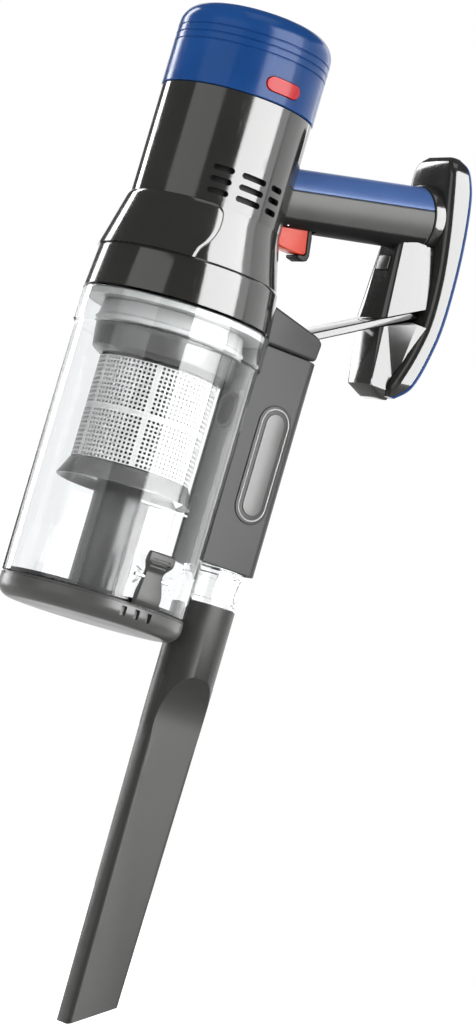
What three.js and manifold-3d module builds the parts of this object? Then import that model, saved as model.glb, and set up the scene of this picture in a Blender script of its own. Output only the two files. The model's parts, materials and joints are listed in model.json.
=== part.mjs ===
// Handheld cyclone vacuum with a crevice nozzle, in millimetres, +Z up.
// The origin is the centre of the flat underside of the dust-cup lid. The motor and the cup share
// the Z axis, the handle runs out along +X, and the red cap button and the lid latch face -Y.
import * as THREE from 'three';
import { mergeVertices } from 'three/addons/utils/BufferGeometryUtils.js';
import Module from 'manifold-3d';

const wasm = await Module();
wasm.setup();

// ---- driving dimensions ----
const GAP = 0.3;                 // between pieces that touch
const SLIDE_GAP = 0.4;           // between pieces that slide on each other
const ROUND = 32;                // sides of the large round shells
const SMALL = 20;                // sides of the small round pieces

const LID_HEIGHT = 14;
const CUP_RADIUS = 56;
const CUP_WALL = 2.4;
const CUP_BAND_HEIGHT = 20;
const CUP_BAND_PROUD = 1.6;
const CUP_TOP = 187.6;

const SHROUD_INSET = 0.6;        // its lower edge, inside the cup's band
const SHROUD_TAPER = 2;          // from its lower edge in to the crease
const SHROUD_CREASE_DROP = 34.5;
const SHROUD_HEIGHT = 59.5;
const SHROUD_WALL = 2.2;
const SHOULDER = 9.8;            // from the cup's wall in to the housing
const HOUSING_WALL = 2.5;
const HOUSING_RISE = 68.7;       // above the shroud
const CAP_PROUD = 0.6;           // beyond the housing
const CAP_WALL = 2.3;
const CAP_HEIGHT = 51.8;
const CAP_ROUNDING = 13;
const CAP_NECK_HEIGHT = 4.8;

const BUTTON_LENGTH = 23.2;
const BUTTON_HEIGHT = 8.6;
const BUTTON_RISE = 10;          // centre above the cap's lower edge

const HANDLE_TILT = THREE.MathUtils.degToRad(12);
const HANDLE_RISE = 18.2;        // from the shroud's top to where the grip's line meets the motor axis
const HANDLE_RADIUS = 18.7;
const HANDLE_FLARE = 0.9;        // wider at its outer end
const HANDLE_REACH = 148;        // along the grip from the motor axis
const HANDLE_WALL = 2.6;
const HANDLE_SPLIT = 4.5;        // seam above the centre line
const COLLAR_LENGTH = 6;
const COLLAR_PROUD = 1.6;        // beyond the grip's end
const TRIGGER_WIDTH = 13.4;
const TRIGGER_SIDE_GAP = 0.9;
const TRIGGER_PIN_RADIUS = 1.5;

const PIPE_BORE = 13;
const PIPE_WALL = 1.8;
const NECK_PROUD = 2.8;          // the neck's thickness outside the pipe
const NECK_STANDOFF = 1;         // between the neck and the cup's band
const NECK_BOTTOM = 30.3;
const DUCT_BACK_MARGIN = 4;      // from the pipe to the duct's back
const DUCT_SIDE_MARGIN = 2.5;    // from the pipe to the duct's sides
const DUCT_CORNER = 6;
const DUCT_BOTTOM = 53;
const DUCT_WALL = 2.2;
const BADGE_LENGTH = 73;
const BADGE_WIDTH = 23;
const SPIGOT_LENGTH = 38;

const NOZZLE_WALL = 1.9;
const NOZZLE_ROUND_LENGTH = 43;
const NOZZLE_THICKNESS = 15.6;
const NOZZLE_LENGTH = 260;       // collar rim to the long corner of the tip
const NOZZLE_TIP_ANGLE = THREE.MathUtils.degToRad(29);

const SPINE_HALF_WIDTH = 27;
const SPINE_COVER = 2.4;
const SPINE_WALL = 1.8;
const CELL_SIZE = { thick: 6.6, wide: 22, tall: 40 };
const STRUT_THICKNESS = 5;
const STRUT_HALF_WIDTH = 14;

const MESH_RADIUS = 36;
const MESH_HEIGHT = 62.7;
const COLUMN_RADIUS = 17;
const IMPELLER_MARGIN = 10.4;    // from the housing's bore
const CAN_RADIUS = 27;
const SHAFT_RADIUS = 2.5;
const HINGE_PIN_RADIUS = 1.3;
const HINGE_PIN_GAP = 0.3;
const LATCH_PIN_RADIUS = 1;
const LATCH_HALF_WIDTH = 9;

// ---- sizes that follow from them ----
const bandRadius = CUP_RADIUS + CUP_BAND_PROUD;
const cupInner = CUP_RADIUS - CUP_WALL;
const housingRadius = CUP_RADIUS - SHOULDER;
const shroudBottom = CUP_TOP + 1.6;
const shroudCrease = shroudBottom + SHROUD_HEIGHT - SHROUD_CREASE_DROP;
const shroudTop = shroudBottom + SHROUD_HEIGHT;
const shroudBottomRadius = bandRadius - SHROUD_INSET;
const shroudCreaseRadius = shroudBottomRadius - SHROUD_TAPER;
const housingTop = shroudTop + HOUSING_RISE;
const housingBore = housingRadius - HOUSING_WALL;
const capRadius = housingRadius + CAP_PROUD;
const handleLevel = shroudTop + HANDLE_RISE;
const handleEndRadius = HANDLE_RADIUS + HANDLE_FLARE;
const collarRadius = handleEndRadius + COLLAR_PROUD;
const pipeRadius = PIPE_BORE + PIPE_WALL;
const neckRadius = pipeRadius + NECK_PROUD;
const ductX = bandRadius + NECK_STANDOFF + neckRadius;
const ductBack = ductX + pipeRadius + DUCT_BACK_MARGIN;
const ductHalfWidth = pipeRadius + DUCT_SIDE_MARGIN;

// ---- colours ----
const colours = {
  graphite: [0x4b4b49, 0.25, 0.0],
  darkGrey: [0x3c3c3b, 0.35, 0.0],
  blue: [0x2d4f9b, 0.3, 0.0],
  red: [0xe1272d, 0.3, 0.0],
  orange: [0xf06450, 0.35, 0.0],
  satinGrey: [0x61615e, 0.5, 0.0],
  clear: [0xe8ecee, 0.05, 0.0],
  rubber: [0x1c1c1c, 0.8, 0.0],
  steel: [0xb9bcc0, 0.3, 1.0],
  white: [0xe9e7e0, 0.9, 0.0],
  board: [0x1e5a34, 0.5, 0.0],
  copper: [0xb56a3a, 0.4, 1.0],
  cell: [0x3c8f6a, 0.4, 0.0],
};

// ---- shape helpers ----
function solid(geometry) {
  const plain = geometry.clone();
  plain.deleteAttribute('normal');
  plain.deleteAttribute('uv');
  const merged = mergeVertices(plain, 1e-4);
  const corner = (i) => new THREE.Vector3().fromBufferAttribute(merged.attributes.position, i);
  const triangles = [];
  let volume = 0;
  for (let t = 0; t < merged.index.count; t += 3) {
    const [a, b, c] = [0, 1, 2].map((k) => merged.index.getX(t + k));
    if (a === b || b === c || c === a) continue;
    triangles.push([a, b, c]);
    volume += corner(a).dot(corner(b).cross(corner(c)));
  }
  if (volume < 0) triangles.forEach((triangle) => triangle.reverse());
  return new wasm.Manifold(new wasm.Mesh({
    numProp: 3,
    vertProperties: new Float32Array(merged.attributes.position.array),
    triVerts: new Uint32Array(triangles.flat()),
  }));
}

const joined = (first, ...rest) => rest.reduce((sum, next) => sum.add(next), first);
const cut = (first, ...rest) => rest.reduce((left, next) => left.subtract(next), first);
const common = (first, ...rest) => rest.reduce((left, next) => left.intersect(next), first);

// A round body about Z from [radius, z] points.
function turned(points, sides = ROUND) {
  const closed = points[0][0] === 0 ? points : [...points, points[0]];
  const profile = closed.map(([r, z]) => new THREE.Vector2(r, z));
  return solid(new THREE.LatheGeometry(profile, sides).rotateX(Math.PI / 2));
}

const tube = (outer, inner, low, high, sides = ROUND) => turned(
  [[outer, low], [outer, high], [inner, high], [inner, low]], sides);
const disc = (radius, low, high, sides = ROUND) => turned(
  [[0, low], [radius, low], [radius, high], [0, high]], sides);
const moved = (body, x, y, z) => body.translate([x, y, z]);

function block(x0, x1, y0, y1, z0, z1) {
  const box = new THREE.BoxGeometry(x1 - x0, y1 - y0, z1 - z0);
  return solid(box.translate((x0 + x1) / 2, (y0 + y1) / 2, (z0 + z1) / 2));
}

function outline(points) {
  return new THREE.Shape(points.map(([a, b]) => new THREE.Vector2(a, b)));
}

function pillOutline(length, width) {
  const pill = new THREE.Shape();
  const straight = (length - width) / 2;
  pill.absarc(straight, 0, width / 2, -Math.PI / 2, Math.PI / 2, false);
  pill.absarc(-straight, 0, width / 2, Math.PI / 2, Math.PI * 1.5, false);
  return pill;
}

// Extrusions of an outline drawn in the XZ plane along Y, or in the YZ plane along X.
function alongY(shape, y0, y1) {
  const flat = new THREE.ExtrudeGeometry(shape, { depth: y1 - y0, bevelEnabled: false, curveSegments: 6 });
  return solid(flat.rotateX(Math.PI / 2).translate(0, y1, 0));
}

function alongX(shape, x0, x1) {
  const flat = new THREE.ExtrudeGeometry(shape, { depth: x1 - x0, bevelEnabled: false, curveSegments: 6 });
  const turn = new THREE.Matrix4().makeBasis(
    new THREE.Vector3(0, 1, 0), new THREE.Vector3(0, 0, 1), new THREE.Vector3(1, 0, 0));
  return solid(flat.applyMatrix4(turn).translate(x0, 0, 0));
}

// A closed skin through rings of equal point counts, capped at both ends.
function loft(rings) {
  const count = rings[0].length;
  const centre = (ring) => ring.reduce((sum, p) => sum.add(p), new THREE.Vector3()).divideScalar(count);
  const faces = [];
  for (let i = 0; i + 1 < rings.length; i += 1) {
    for (let j = 0; j < count; j += 1) {
      const k = (j + 1) % count;
      faces.push(rings[i][j], rings[i][k], rings[i + 1][k], rings[i][j], rings[i + 1][k], rings[i + 1][j]);
    }
  }
  const first = rings[0];
  const last = rings[rings.length - 1];
  const [low, high] = [centre(first), centre(last)];
  for (let j = 0; j < count; j += 1) {
    const k = (j + 1) % count;
    faces.push(low, first[k], first[j], high, last[j], last[k]);
  }
  const geometry = new THREE.BufferGeometry().setFromPoints(faces);
  return solid(geometry);
}

// A ring at height z: a rectangle with round corners, from x0 to x1 and y +-half.
function roundedRing(z, x0, x1, half, corner, steps = 3) {
  const radius = Math.min(corner, (x1 - x0) / 2 - 0.01, half - 0.01);
  const centres = [[x1 - radius, half - radius], [x0 + radius, half - radius],
    [x0 + radius, radius - half], [x1 - radius, radius - half]];
  return centres.flatMap(([cx, cy], quarter) => Array.from({ length: steps + 1 }, (_, s) => {
    const angle = (quarter + s / steps) * Math.PI / 2;
    return new THREE.Vector3(cx + radius * Math.cos(angle), cy + radius * Math.sin(angle), z);
  }));
}

// ---- the grip's own frame: u along the grip, y across, w up from its centre line ----
const gripFrame = new THREE.Matrix4().makeRotationY(-HANDLE_TILT).setPosition(0, 0, handleLevel);
const gripEnd = new THREE.Vector3(HANDLE_REACH, 0, 0).applyMatrix4(gripFrame);
const inGrip = (body) => body.transform(gripFrame.toArray());
const gripRound = (radiusStart, radiusEnd, u0, u1, sides = ROUND) => {
  const cone = new THREE.CylinderGeometry(radiusEnd, radiusStart, u1 - u0, sides);
  return inGrip(solid(cone.rotateZ(-Math.PI / 2).translate((u0 + u1) / 2, 0, 0)));
};
const gripBlock = (u0, u1, y0, y1, w0, w1) => inGrip(block(u0, u1, y0, y1, w0, w1));

// ---- assembly ----
const group = new THREE.Group();

function add(name, body, colour) {
  const [hex, roughness, metalness] = colours[colour];
  const mesh = body.getMesh();
  const geometry = new THREE.BufferGeometry();
  geometry.setAttribute('position', new THREE.BufferAttribute(new Float32Array(mesh.vertProperties), 3));
  geometry.setIndex(new THREE.BufferAttribute(new Uint32Array(mesh.triVerts), 1));
  geometry.computeVertexNormals();
  const material = new THREE.MeshStandardMaterial({ color: hex, roughness, metalness });
  const node = new THREE.Mesh(geometry, material);
  node.name = name;
  group.add(node);
}

// ---- motor housing, shroud and base plate ----
// The outer skin of the shroud, grown outwards, as a plain body to cut neighbours with.
function shroudSkin(grow) {
  return [[housingRadius + GAP + 1.2 + grow, shroudTop], [shroudCreaseRadius + grow, shroudCrease],
    [shroudBottomRadius + grow, shroudBottom]];
}

function makeHousing() {
  const neck = housingBore + 0.1;
  const neckTop = housingTop + CAP_NECK_HEIGHT;
  const shell = turned([[housingRadius, shroudBottom + 4], [housingRadius, housingTop],
    [neck, housingTop], [neck, neckTop], [neck - 2, neckTop], [neck - 2, housingTop - 3],
    [housingBore, housingTop - 5], [housingBore, shroudBottom + 4]]);
  const slots = [];
  const columns = [[-26, 16], [-1.5, 21], [21.5, 13]];
  const rows = [0, 7, 14];
  const slotHeight = 3.5;
  const topRow = housingTop - 46.5;
  for (const [angle, span] of columns) {
    const width = housingRadius * THREE.MathUtils.degToRad(span);
    for (const drop of rows) {
      const pill = alongY(pillOutline(width, slotHeight), -housingRadius - 2, -housingRadius + 5);
      slots.push(moved(pill, 0, 0, topRow - drop).rotate([0, 0, angle]));
    }
  }
  add('motor_housing', cut(shell, ...slots), 'graphite');
}

function makeShroud() {
  const clear = housingRadius + GAP;
  const skin = shroudSkin(0);
  const inside = [[shroudBottomRadius - SHROUD_WALL, shroudBottom],
    [shroudCreaseRadius - SHROUD_WALL, shroudCrease], [clear, shroudTop - 9], [clear, shroudTop]];
  add('shroud', turned([...skin, ...inside]), 'graphite');
  const plate = tube(shroudBottomRadius - SHROUD_WALL - GAP, 30, shroudBottom + 0.4, shroudBottom + 3.4);
  add('base_plate', plate, 'darkGrey');
}

// ---- motor, from the inlet up to the control board ----
const motorFoot = shroudBottom + 26;

function makeMotor() {
  const bore = housingBore - GAP;
  const impellerRadius = bore - IMPELLER_MARGIN;
  const inletRadius = 15;
  add('inlet_funnel', turned([[bore, motorFoot - 6], [bore, motorFoot], [inletRadius + 1.6, motorFoot + 8],
    [inletRadius, motorFoot + 8], [inletRadius, motorFoot + 6], [bore - 2, motorFoot - 2.4],
    [bore - 2, motorFoot - 6]], SMALL * 2), 'darkGrey');
  const impellerLow = motorFoot + 9.5;
  const blades = [];
  const bladeCount = 9;
  for (let i = 0; i < bladeCount; i += 1) {
    const blade = block(7, impellerRadius - 1, -0.7, 0.7, impellerLow + 0.2, impellerLow + 9);
    blades.push(moved(blade, 0, 3, 0).rotate([0, 0, i * 360 / bladeCount]));
  }
  const hub = turned([[SHAFT_RADIUS + 0.05, impellerLow], [9, impellerLow], [10, impellerLow + 8.4],
    [impellerRadius, impellerLow + 8.4], [impellerRadius, impellerLow + 10],
    [SHAFT_RADIUS + 0.05, impellerLow + 10]]);
  add('impeller', joined(hub, ...blades), 'darkGrey');
  const diffuserLow = impellerLow + 11.5;
  const ports = [];
  const portCount = 8;
  for (let i = 0; i < portCount; i += 1) {
    const port = disc(3.6, diffuserLow - 1, diffuserLow + 5, 12);
    ports.push(moved(port, bore - 8.4, 0, 0).rotate([0, 0, i * 360 / portCount]));
  }
  add('diffuser', cut(tube(bore, 8 + GAP, diffuserLow, diffuserLow + 4), ...ports), 'darkGrey');
  add('lower_bearing', tube(8, SHAFT_RADIUS + 0.05, diffuserLow, diffuserLow + 5, SMALL), 'steel');
  const canLow = diffuserLow + 4 + GAP;
  const canHigh = canLow + 44;
  const canBore = CAN_RADIUS - 1.6;
  add('motor_can', turned([[CAN_RADIUS, canLow], [CAN_RADIUS, canHigh], [8 + GAP, canHigh], [8 + GAP,
    canHigh - 1.6],
    [canBore, canHigh - 1.6], [canBore, canLow]]), 'steel');
  add('stator', tube(canBore - GAP, 15.4, canLow + 8, canLow + 34), 'copper');
  add('upper_bearing', tube(8, SHAFT_RADIUS + 0.05, canHigh - 5, canHigh - 0.2, SMALL), 'steel');
  add('rotor_magnet', tube(14.4, SHAFT_RADIUS + 0.05, canLow + 7, canLow + 35, SMALL), 'steel');
  add('rotor_shaft', disc(SHAFT_RADIUS, impellerLow - 3, canHigh + 3, SMALL), 'steel');
  add('motor_bracket', tube(bore, CAN_RADIUS + GAP, canHigh - 8, canHigh - 4), 'rubber');
  const boardLow = canHigh + 10;
  add('control_board', tube(bore - 6.4, 9, boardLow, boardLow + 1.6, 32), 'board');
}

// ---- rear cap with the exhaust filter and the red button ----
const capLow = housingTop + GAP;
const buttonZ = capLow + BUTTON_RISE;

function makeCap() {
  const inner = capRadius - CAP_WALL;
  const top = capLow + CAP_HEIGHT;
  const arc = (radius, offset) => Array.from({ length: 6 }, (_, i) => {
    const angle = i / 5 * Math.PI / 2;
    return [radius - CAP_ROUNDING + (CAP_ROUNDING - offset) * Math.cos(angle),
      top - CAP_ROUNDING + (CAP_ROUNDING - offset) * Math.sin(angle)];
  });
  const outside = [[capRadius, capLow], ...arc(capRadius, 0)];
  const inside = arc(capRadius, CAP_WALL).reverse();
  const shell = turned([[0, top], ...outside.reverse(), [inner, capLow], ...inside.slice().reverse(),
    [0, top - CAP_WALL]]);
  const hole = alongY(pillOutline(BUTTON_LENGTH + 2 * SLIDE_GAP, BUTTON_HEIGHT + 2 * SLIDE_GAP),
    -capRadius - 4, -capRadius + 9);
  const bridgeHalf = BUTTON_LENGTH / 2 + 3;
  const bridgeBack = -capRadius + 12;
  const bridge = joined(
    block(-bridgeHalf, bridgeHalf, bridgeBack - 1.4, bridgeBack, buttonZ - 3, buttonZ + 3),
    block(-bridgeHalf, 2 - bridgeHalf, 3 - capRadius + 1.8, bridgeBack - 1, buttonZ - 3, buttonZ + 3),
    block(bridgeHalf - 2, bridgeHalf, 3 - capRadius + 1.8, bridgeBack - 1, buttonZ - 3, buttonZ + 3));
  add('rear_cap', joined(cut(shell, moved(hole, 0, 0, buttonZ)), bridge), 'blue');
  const face = alongY(pillOutline(BUTTON_LENGTH, BUTTON_HEIGHT), -capRadius - 1.1, -capRadius + 4);
  add('cap_button', moved(face, 0, 0, buttonZ), 'red');
  const spring = tube(3, 2.2, 0, 3.6, 12).rotate([-90, 0, 0]);
  add('cap_button_spring', moved(spring, 0, bridgeBack - 1.4 - 3.6 - GAP, buttonZ), 'steel');
  add('exhaust_filter', tube(capRadius - 16, 16, buttonZ + 8, top - CAP_WALL - GAP, 32), 'white');
}

// ---- grip ----
const collarStart = HANDLE_REACH;
const triggerBack = housingRadius - 0.7;       // along the grip, clear of the housing
const triggerTop = 5.7 - HANDLE_RADIUS;         // across it, below its centre line
const triggerPin = [triggerBack + 3.5, triggerTop - 2];

const inTriggerFrame = (points) => outline(points.map(([u, w]) => [triggerBack + u, triggerTop + w]));
const acrossGrip = (body) => inGrip(moved(body.rotate([90, 0, 0]), triggerPin[0], 0, triggerPin[1]));

function makeHandle() {
  const skin = (grow) => gripRound(
    HANDLE_RADIUS + grow, handleEndRadius + grow, housingRadius - 10.2, collarStart + grow);
  const bore = gripRound(
    HANDLE_RADIUS - HANDLE_WALL, handleEndRadius - HANDLE_WALL, housingRadius - 16.2,
    collarStart + COLLAR_LENGTH);
  const root = disc(housingRadius + GAP, shroudBottom, housingTop + 40);
  const sleeve = cut(skin(0), bore, root);
  const far = 2 * HANDLE_REACH;
  const upper = gripBlock(0, far, -40, 40, HANDLE_SPLIT + GAP / 2, 40);
  const lower = gripBlock(0, far, -40, 40, -40, HANDLE_SPLIT - GAP / 2);
  const slotHalf = TRIGGER_WIDTH / 2 + TRIGGER_SIDE_GAP;
  const slot = gripBlock(triggerBack - 5.5, triggerBack + 26, -slotHalf, slotHalf, -2 * HANDLE_RADIUS,
    triggerTop + 3);
  const pinHole = acrossGrip(disc(TRIGGER_PIN_RADIUS + GAP, -HANDLE_RADIUS, HANDLE_RADIUS, 12));
  add('handle_upper', common(sleeve, upper), 'blue');
  add('handle_lower', cut(common(sleeve, lower), slot, pinHole), 'graphite');
  const ring = gripRound(collarRadius - 0.8, collarRadius, collarStart + GAP, collarStart + COLLAR_LENGTH);
  const collarBore = handleEndRadius - 4.6;
  const collar = cut(ring, gripRound(collarBore, collarBore, collarStart - 1, collarStart + 20),
    spineClear());
  add('handle_collar', collar, 'graphite');
  return skin;
}

function makeTrigger() {
  const half = TRIGGER_WIDTH / 2;
  const body = alongY(inTriggerFrame([[0, 0], [20.5, 0], [20.1, -19.2], [15, -19.2], [0, -15.4]]),
    -half, half);
  const bore = acrossGrip(disc(TRIGGER_PIN_RADIUS + 0.2, -HANDLE_RADIUS, HANDLE_RADIUS, 12));
  add('trigger', cut(inGrip(body), bore), 'orange');
  const pad = alongY(inTriggerFrame([[20.8, -1.5], [23.5, -5], [22.7, -21], [18.9, -23.4], [14.7, -21.2],
    [14.7, -19.5], [20.4, -19.5]]), -half, half);
  add('trigger_pad', inGrip(pad), 'rubber');
  const pinHalf = Math.sqrt(HANDLE_RADIUS ** 2 - triggerPin[1] ** 2) - 1;
  add('trigger_pin', acrossGrip(disc(TRIGGER_PIN_RADIUS, -pinHalf, pinHalf, 12)), 'steel');
  add('trigger_switch', gripBlock(triggerBack + 14.5, triggerBack + 28.5, -4, 4, triggerTop + 3.6,
    triggerTop + 12),
    'darkGrey');
  const spring = tube(2.4, 1.7, triggerTop + 3.4, triggerTop + 11, 12);
  add('trigger_spring', inGrip(moved(spring, triggerBack + 8.5, 0, 0)), 'steel');
}

// ---- battery: a tall slab with a blue back, clipped on the end of the grip ----
// Its sections are placed from the end of the grip.
const spineStations = [
  { rise: -112.17, front: 6.23, back: 12.23, share: 0.56 },
  { rise: -107.67, front: 4.23, back: 16.03, share: 0.78 },
  { rise: -100.67, front: 4.83, back: 19.03, share: 0.91 },
  { rise: -85.67, front: 8.63, back: 22.43, share: 0.98 },
  { rise: -63.67, front: 12.63, back: 25.83, share: 1 },
  { rise: -35.67, front: 12.23, back: 26.23, share: 1 },
  { rise: -7.67, front: 8.43, back: 24.43, share: 1 },
  { rise: 17.33, front: 3.43, back: 20.93, share: 0.98 },
  { rise: 30.33, front: 1.43, back: 17.63, share: 0.91 },
  { rise: 37.33, front: 2.03, back: 15.23, share: 0.78 },
  { rise: 41.33, front: 4.23, back: 11.83, share: 0.56 },
].map(({ rise, front, back, share }) => (
  { z: gripEnd.z + rise, front: gripEnd.x + front, back: gripEnd.x + back, share }));

function spineBody(frontInset, backInset, sideInset) {
  const last = spineStations.length - 1;
  return loft(spineStations.map(({ z, front, back, share }, i) => {
    const rise = i === 0 ? sideInset : (i === last ? -sideInset : 0);
    const half = SPINE_HALF_WIDTH * share - sideInset;
    return roundedRing(z + rise, front + frontInset, back - backInset, half, 5);
  }));
}

const spineClear = () => spineBody(-SLIDE_GAP, -SLIDE_GAP, -SLIDE_GAP);

const spineMiddle = (z) => {
  const next = spineStations.findIndex((station) => station.z >= z);
  const [a, b] = [spineStations[next - 1], spineStations[next]];
  const share = (z - a.z) / (b.z - a.z);
  return THREE.MathUtils.lerp(a.front + a.back, b.front + b.back, share) / 2;
};

function makeBattery() {
  const whole = spineBody(0, 0, 0);
  const forward = spineBody(-20, SPINE_COVER + GAP, -5);
  const cavity = spineBody(SPINE_WALL, SPINE_COVER - 1, SPINE_WALL + 0.2);
  add('battery_case', cut(common(whole, forward), cavity), 'graphite');
  add('battery_cover', cut(whole, spineBody(-30, SPINE_COVER, -8)), 'blue');
  const tierStarts = [gripEnd.z - 75.67, gripEnd.z - 31.67];
  const { thick, wide, tall } = CELL_SIZE;
  tierStarts.forEach((low, tier) => {
    const [x0, x1] = [spineMiddle(low), spineMiddle(low + tall)];
    const lean = THREE.MathUtils.radToDeg(Math.atan2(x1 - x0, tall));
    for (const side of [-1, 1]) {
      const cell = block(-thick / 2, thick / 2, -wide / 2, wide / 2, 0, tall).rotate([0, lean, 0]);
      const number = tier * 2 + (side > 0 ? 2 : 1);
      add(`battery_cell_${number}`, moved(cell, x0 + 0.7, side * (wide / 2 + 0.6), low), 'cell');
    }
  });
  const boardZ = gripEnd.z + 18.33;
  const boardX = spineMiddle(boardZ);
  add('battery_board', block(boardX - 0.8, boardX + 0.8, -15, 15, boardZ - 5, boardZ + 5), 'board');
}

// ---- strut and dock in front of the battery ----
const strutStart = [ductBack - 11, shroudBottom + 14.4];
const strutEnd = [gripEnd.x + 5.73, gripEnd.z - 58.27];
const strutSlope = (strutEnd[1] - strutStart[1]) / (strutEnd[0] - strutStart[0]);
const strutRise = STRUT_THICKNESS * Math.hypot(1, strutSlope);
const strutTopAt = (x) => strutStart[1] + (x - strutStart[0]) * strutSlope;

function headOutline(grow) {
  const low = shroudBottom - 0.8 - grow;
  return outline([[shroudBottomRadius - 12, low], [ductBack - 2 + grow, low], [ductBack - 0.8 + grow,
    low + 12.1 + grow],
    [ductBack - 5 + grow, low + 15.1 + 2 * grow], [ductBack - 35, low + 22.1 + 2 * grow],
    [shroudBottomRadius - 12, low + 25.6 + 2 * grow]]);
}

function makeDuctHead() {
  const skin = shroudSkin(GAP);
  const clear = turned([[0, shroudTop + 10], [skin[0][0], shroudTop + 10], ...skin,
    [skin[2][0], shroudBottom - 9], [0, shroudBottom - 9]]);
  const release = [ductBack - 4.8, ductBack + 0.2, -8, 8, shroudBottom + 1.6, shroudBottom + 9];
  const [, , y0, y1, z0, z1] = release;
  const pocket = block(ductBack - 7.5, ductBack + 4, y0 - SLIDE_GAP, y1 + SLIDE_GAP, z0 - SLIDE_GAP,
    z1 + SLIDE_GAP);
  const body = alongY(headOutline(0), -ductHalfWidth, ductHalfWidth);
  add('duct_head', cut(body, clear, pocket), 'graphite');
  add('cup_release', block(...release), 'darkGrey');
}

function makeDock(handleSkin) {
  const spine = spineClear();
  const [endX, endZ] = [gripEnd.x, gripEnd.z];
  const stations = [
    { z: endZ - 114.67, front: endX + 3.23, half: 12, back: 17, rear: endX + 8.23 },
    { z: endZ - 110.67, front: endX - 3.27, half: 13, back: 21, rear: endX + 8.23 },
    { z: endZ - 102.67, front: endX - 6.17, half: 13, back: 23, rear: endX + 8.23 },
    { z: endZ - 75.67, front: endX - 13.37, half: 12, back: 23, rear: endX + 15.23 },
    { z: endZ - 15.67, front: endX - 13.77, half: 8.5, back: 15, rear: endX + 15.23 },
  ];
  const section = ({ z, front, half, back, rear }, inset) => {
    const facet = (back - half) * 0.8;
    return [[front + inset, -half + inset], [front + inset + facet, -back + inset], [rear, -back + inset],
      [rear, back - inset], [front + inset + facet, back - inset], [front + inset, half - inset]]
      .map(([x, y]) => new THREE.Vector3(x, y, z));
  };
  const body = (inset) => loft(stations.map((station) => section(station, inset)));
  const near = ductX - 16.2;
  const far = endX + 250;
  const above = (lift) => alongY(outline([[near, strutTopAt(near) + lift], [far, strutTopAt(far) + lift],
    [far, endZ + 500], [near, endZ + 500]]), -60, 60);
  const below = (drop) => alongY(outline([[near, strutTopAt(near) - drop], [far, strutTopAt(far) - drop],
    [far, -500], [near, -500]]), -60, 60);
  const grip = handleSkin(2 * GAP);
  const collar = gripRound(collarRadius + GAP, collarRadius + GAP, collarStart, collarStart + 72);
  const wall = 2.2;
  const press = [endX - 14.97, endX - 12.77, -6, 6, endZ - 37.67, endZ - 28.67];
  const [, pressBack, y0, y1, z0, z1] = press;
  const pocket = block(endX - 25, pressBack + 2.2, y0 - SLIDE_GAP, y1 + SLIDE_GAP, z0 - SLIDE_GAP,
    z1 + SLIDE_GAP);
  const upper = common(body(0), above(GAP));
  const upperCavity = common(body(wall), above(GAP + wall), block(endX - 8.17, far, -40, 40, endZ - 150,
    endZ - 35.67));
  add('dock_upper', cut(upper, upperCavity, grip, collar, spine, pocket), 'graphite');
  const lower = common(body(0), below(strutRise + GAP));
  const lowerCavity = common(body(wall), below(strutRise + GAP + wall), block(near, far, -40, 40,
    endZ - 110.67, endZ));
  add('dock_lower', cut(lower, lowerCavity, spine), 'graphite');
  add('battery_release', block(...press), 'darkGrey');
  add('dock_terminals', block(endX + 0.23, endX + 10.83, -7, 7, endZ - 51.67, endZ - 41.67), 'copper');
  const strutOutline = outline([strutStart, strutEnd, [strutEnd[0] + 8,
    strutEnd[1] - strutRise + 8 * strutSlope],
    [strutStart[0], strutStart[1] - strutRise]]);
  const head = alongY(headOutline(GAP), -30, 30);
  add('strut', cut(alongY(strutOutline, -STRUT_HALF_WIDTH, STRUT_HALF_WIDTH), head, spine), 'graphite');
}

// ---- dust cup ----
const cupLow = LID_HEIGHT + GAP;
const cupBandLow = CUP_TOP - CUP_BAND_HEIGHT;
const hingeY = CUP_RADIUS + 4;
const hingeZ = LID_HEIGHT - 2.5;
const portZ = cupBandLow - 22;
const portRadius = 11;
const latchY = -CUP_RADIUS - 3.4;
const latchZ = LID_HEIGHT + 16;

// A pin, bore or knuckle about an axis that runs along X.
const onHinge = (radius, x0, x1) => moved(disc(radius, x0, x1, 16).rotate([0, 90, 0]), 0, hingeY, hingeZ);
const onLatch = (radius, x0, x1) => moved(disc(radius, x0, x1, 12).rotate([0, 90, 0]), 0, latchY, latchZ);

function makeCup() {
  const wall = turned([[CUP_RADIUS, cupLow], [CUP_RADIUS, cupBandLow], [bandRadius, cupBandLow + 1.6],
    [bandRadius, CUP_TOP], [bandRadius - 3, CUP_TOP], [bandRadius - 3, cupBandLow], [cupInner,
    cupBandLow - 2],
    [cupInner, cupLow]]);
  const lugs = [[-13, -7.2], [7.2, 13]].map(([x0, x1]) => {
    const arm = alongX(outline([[hingeY - 3.2, hingeZ], [hingeY + 3.2, hingeZ], [CUP_RADIUS - 1,
      hingeZ + 18.5],
      [CUP_RADIUS - 3, hingeZ + 18.5], [CUP_RADIUS - 3, cupLow], [CUP_RADIUS - 0.4, cupLow]]), x0, x1);
    return joined(onHinge(3.4, x0, x1), arm);
  });
  const port = moved(disc(portRadius + GAP, 0, 30, SMALL).rotate([0, 90, 0]), CUP_RADIUS - 16, 0, portZ);
  const earInside = LATCH_HALF_WIDTH + 0.8;
  const ears = [[-earInside - 2.6, -earInside], [earInside, earInside + 2.6]].map(([x0, x1]) => block(
    x0, x1, latchY - 2.6, 2 - cupInner, latchZ - 4, latchZ + 4));
  const body = joined(wall, ...lugs, ...ears);
  add('dust_cup', cut(body, disc(cupInner, cupLow - 5, cupBandLow - 3),
    onHinge(HINGE_PIN_RADIUS + HINGE_PIN_GAP, -20, 20),
    onLatch(LATCH_PIN_RADIUS + GAP, -20, 20), port), 'clear');
  add('lid_hinge_pin', onHinge(HINGE_PIN_RADIUS, -13, 13), 'steel');
}

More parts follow.
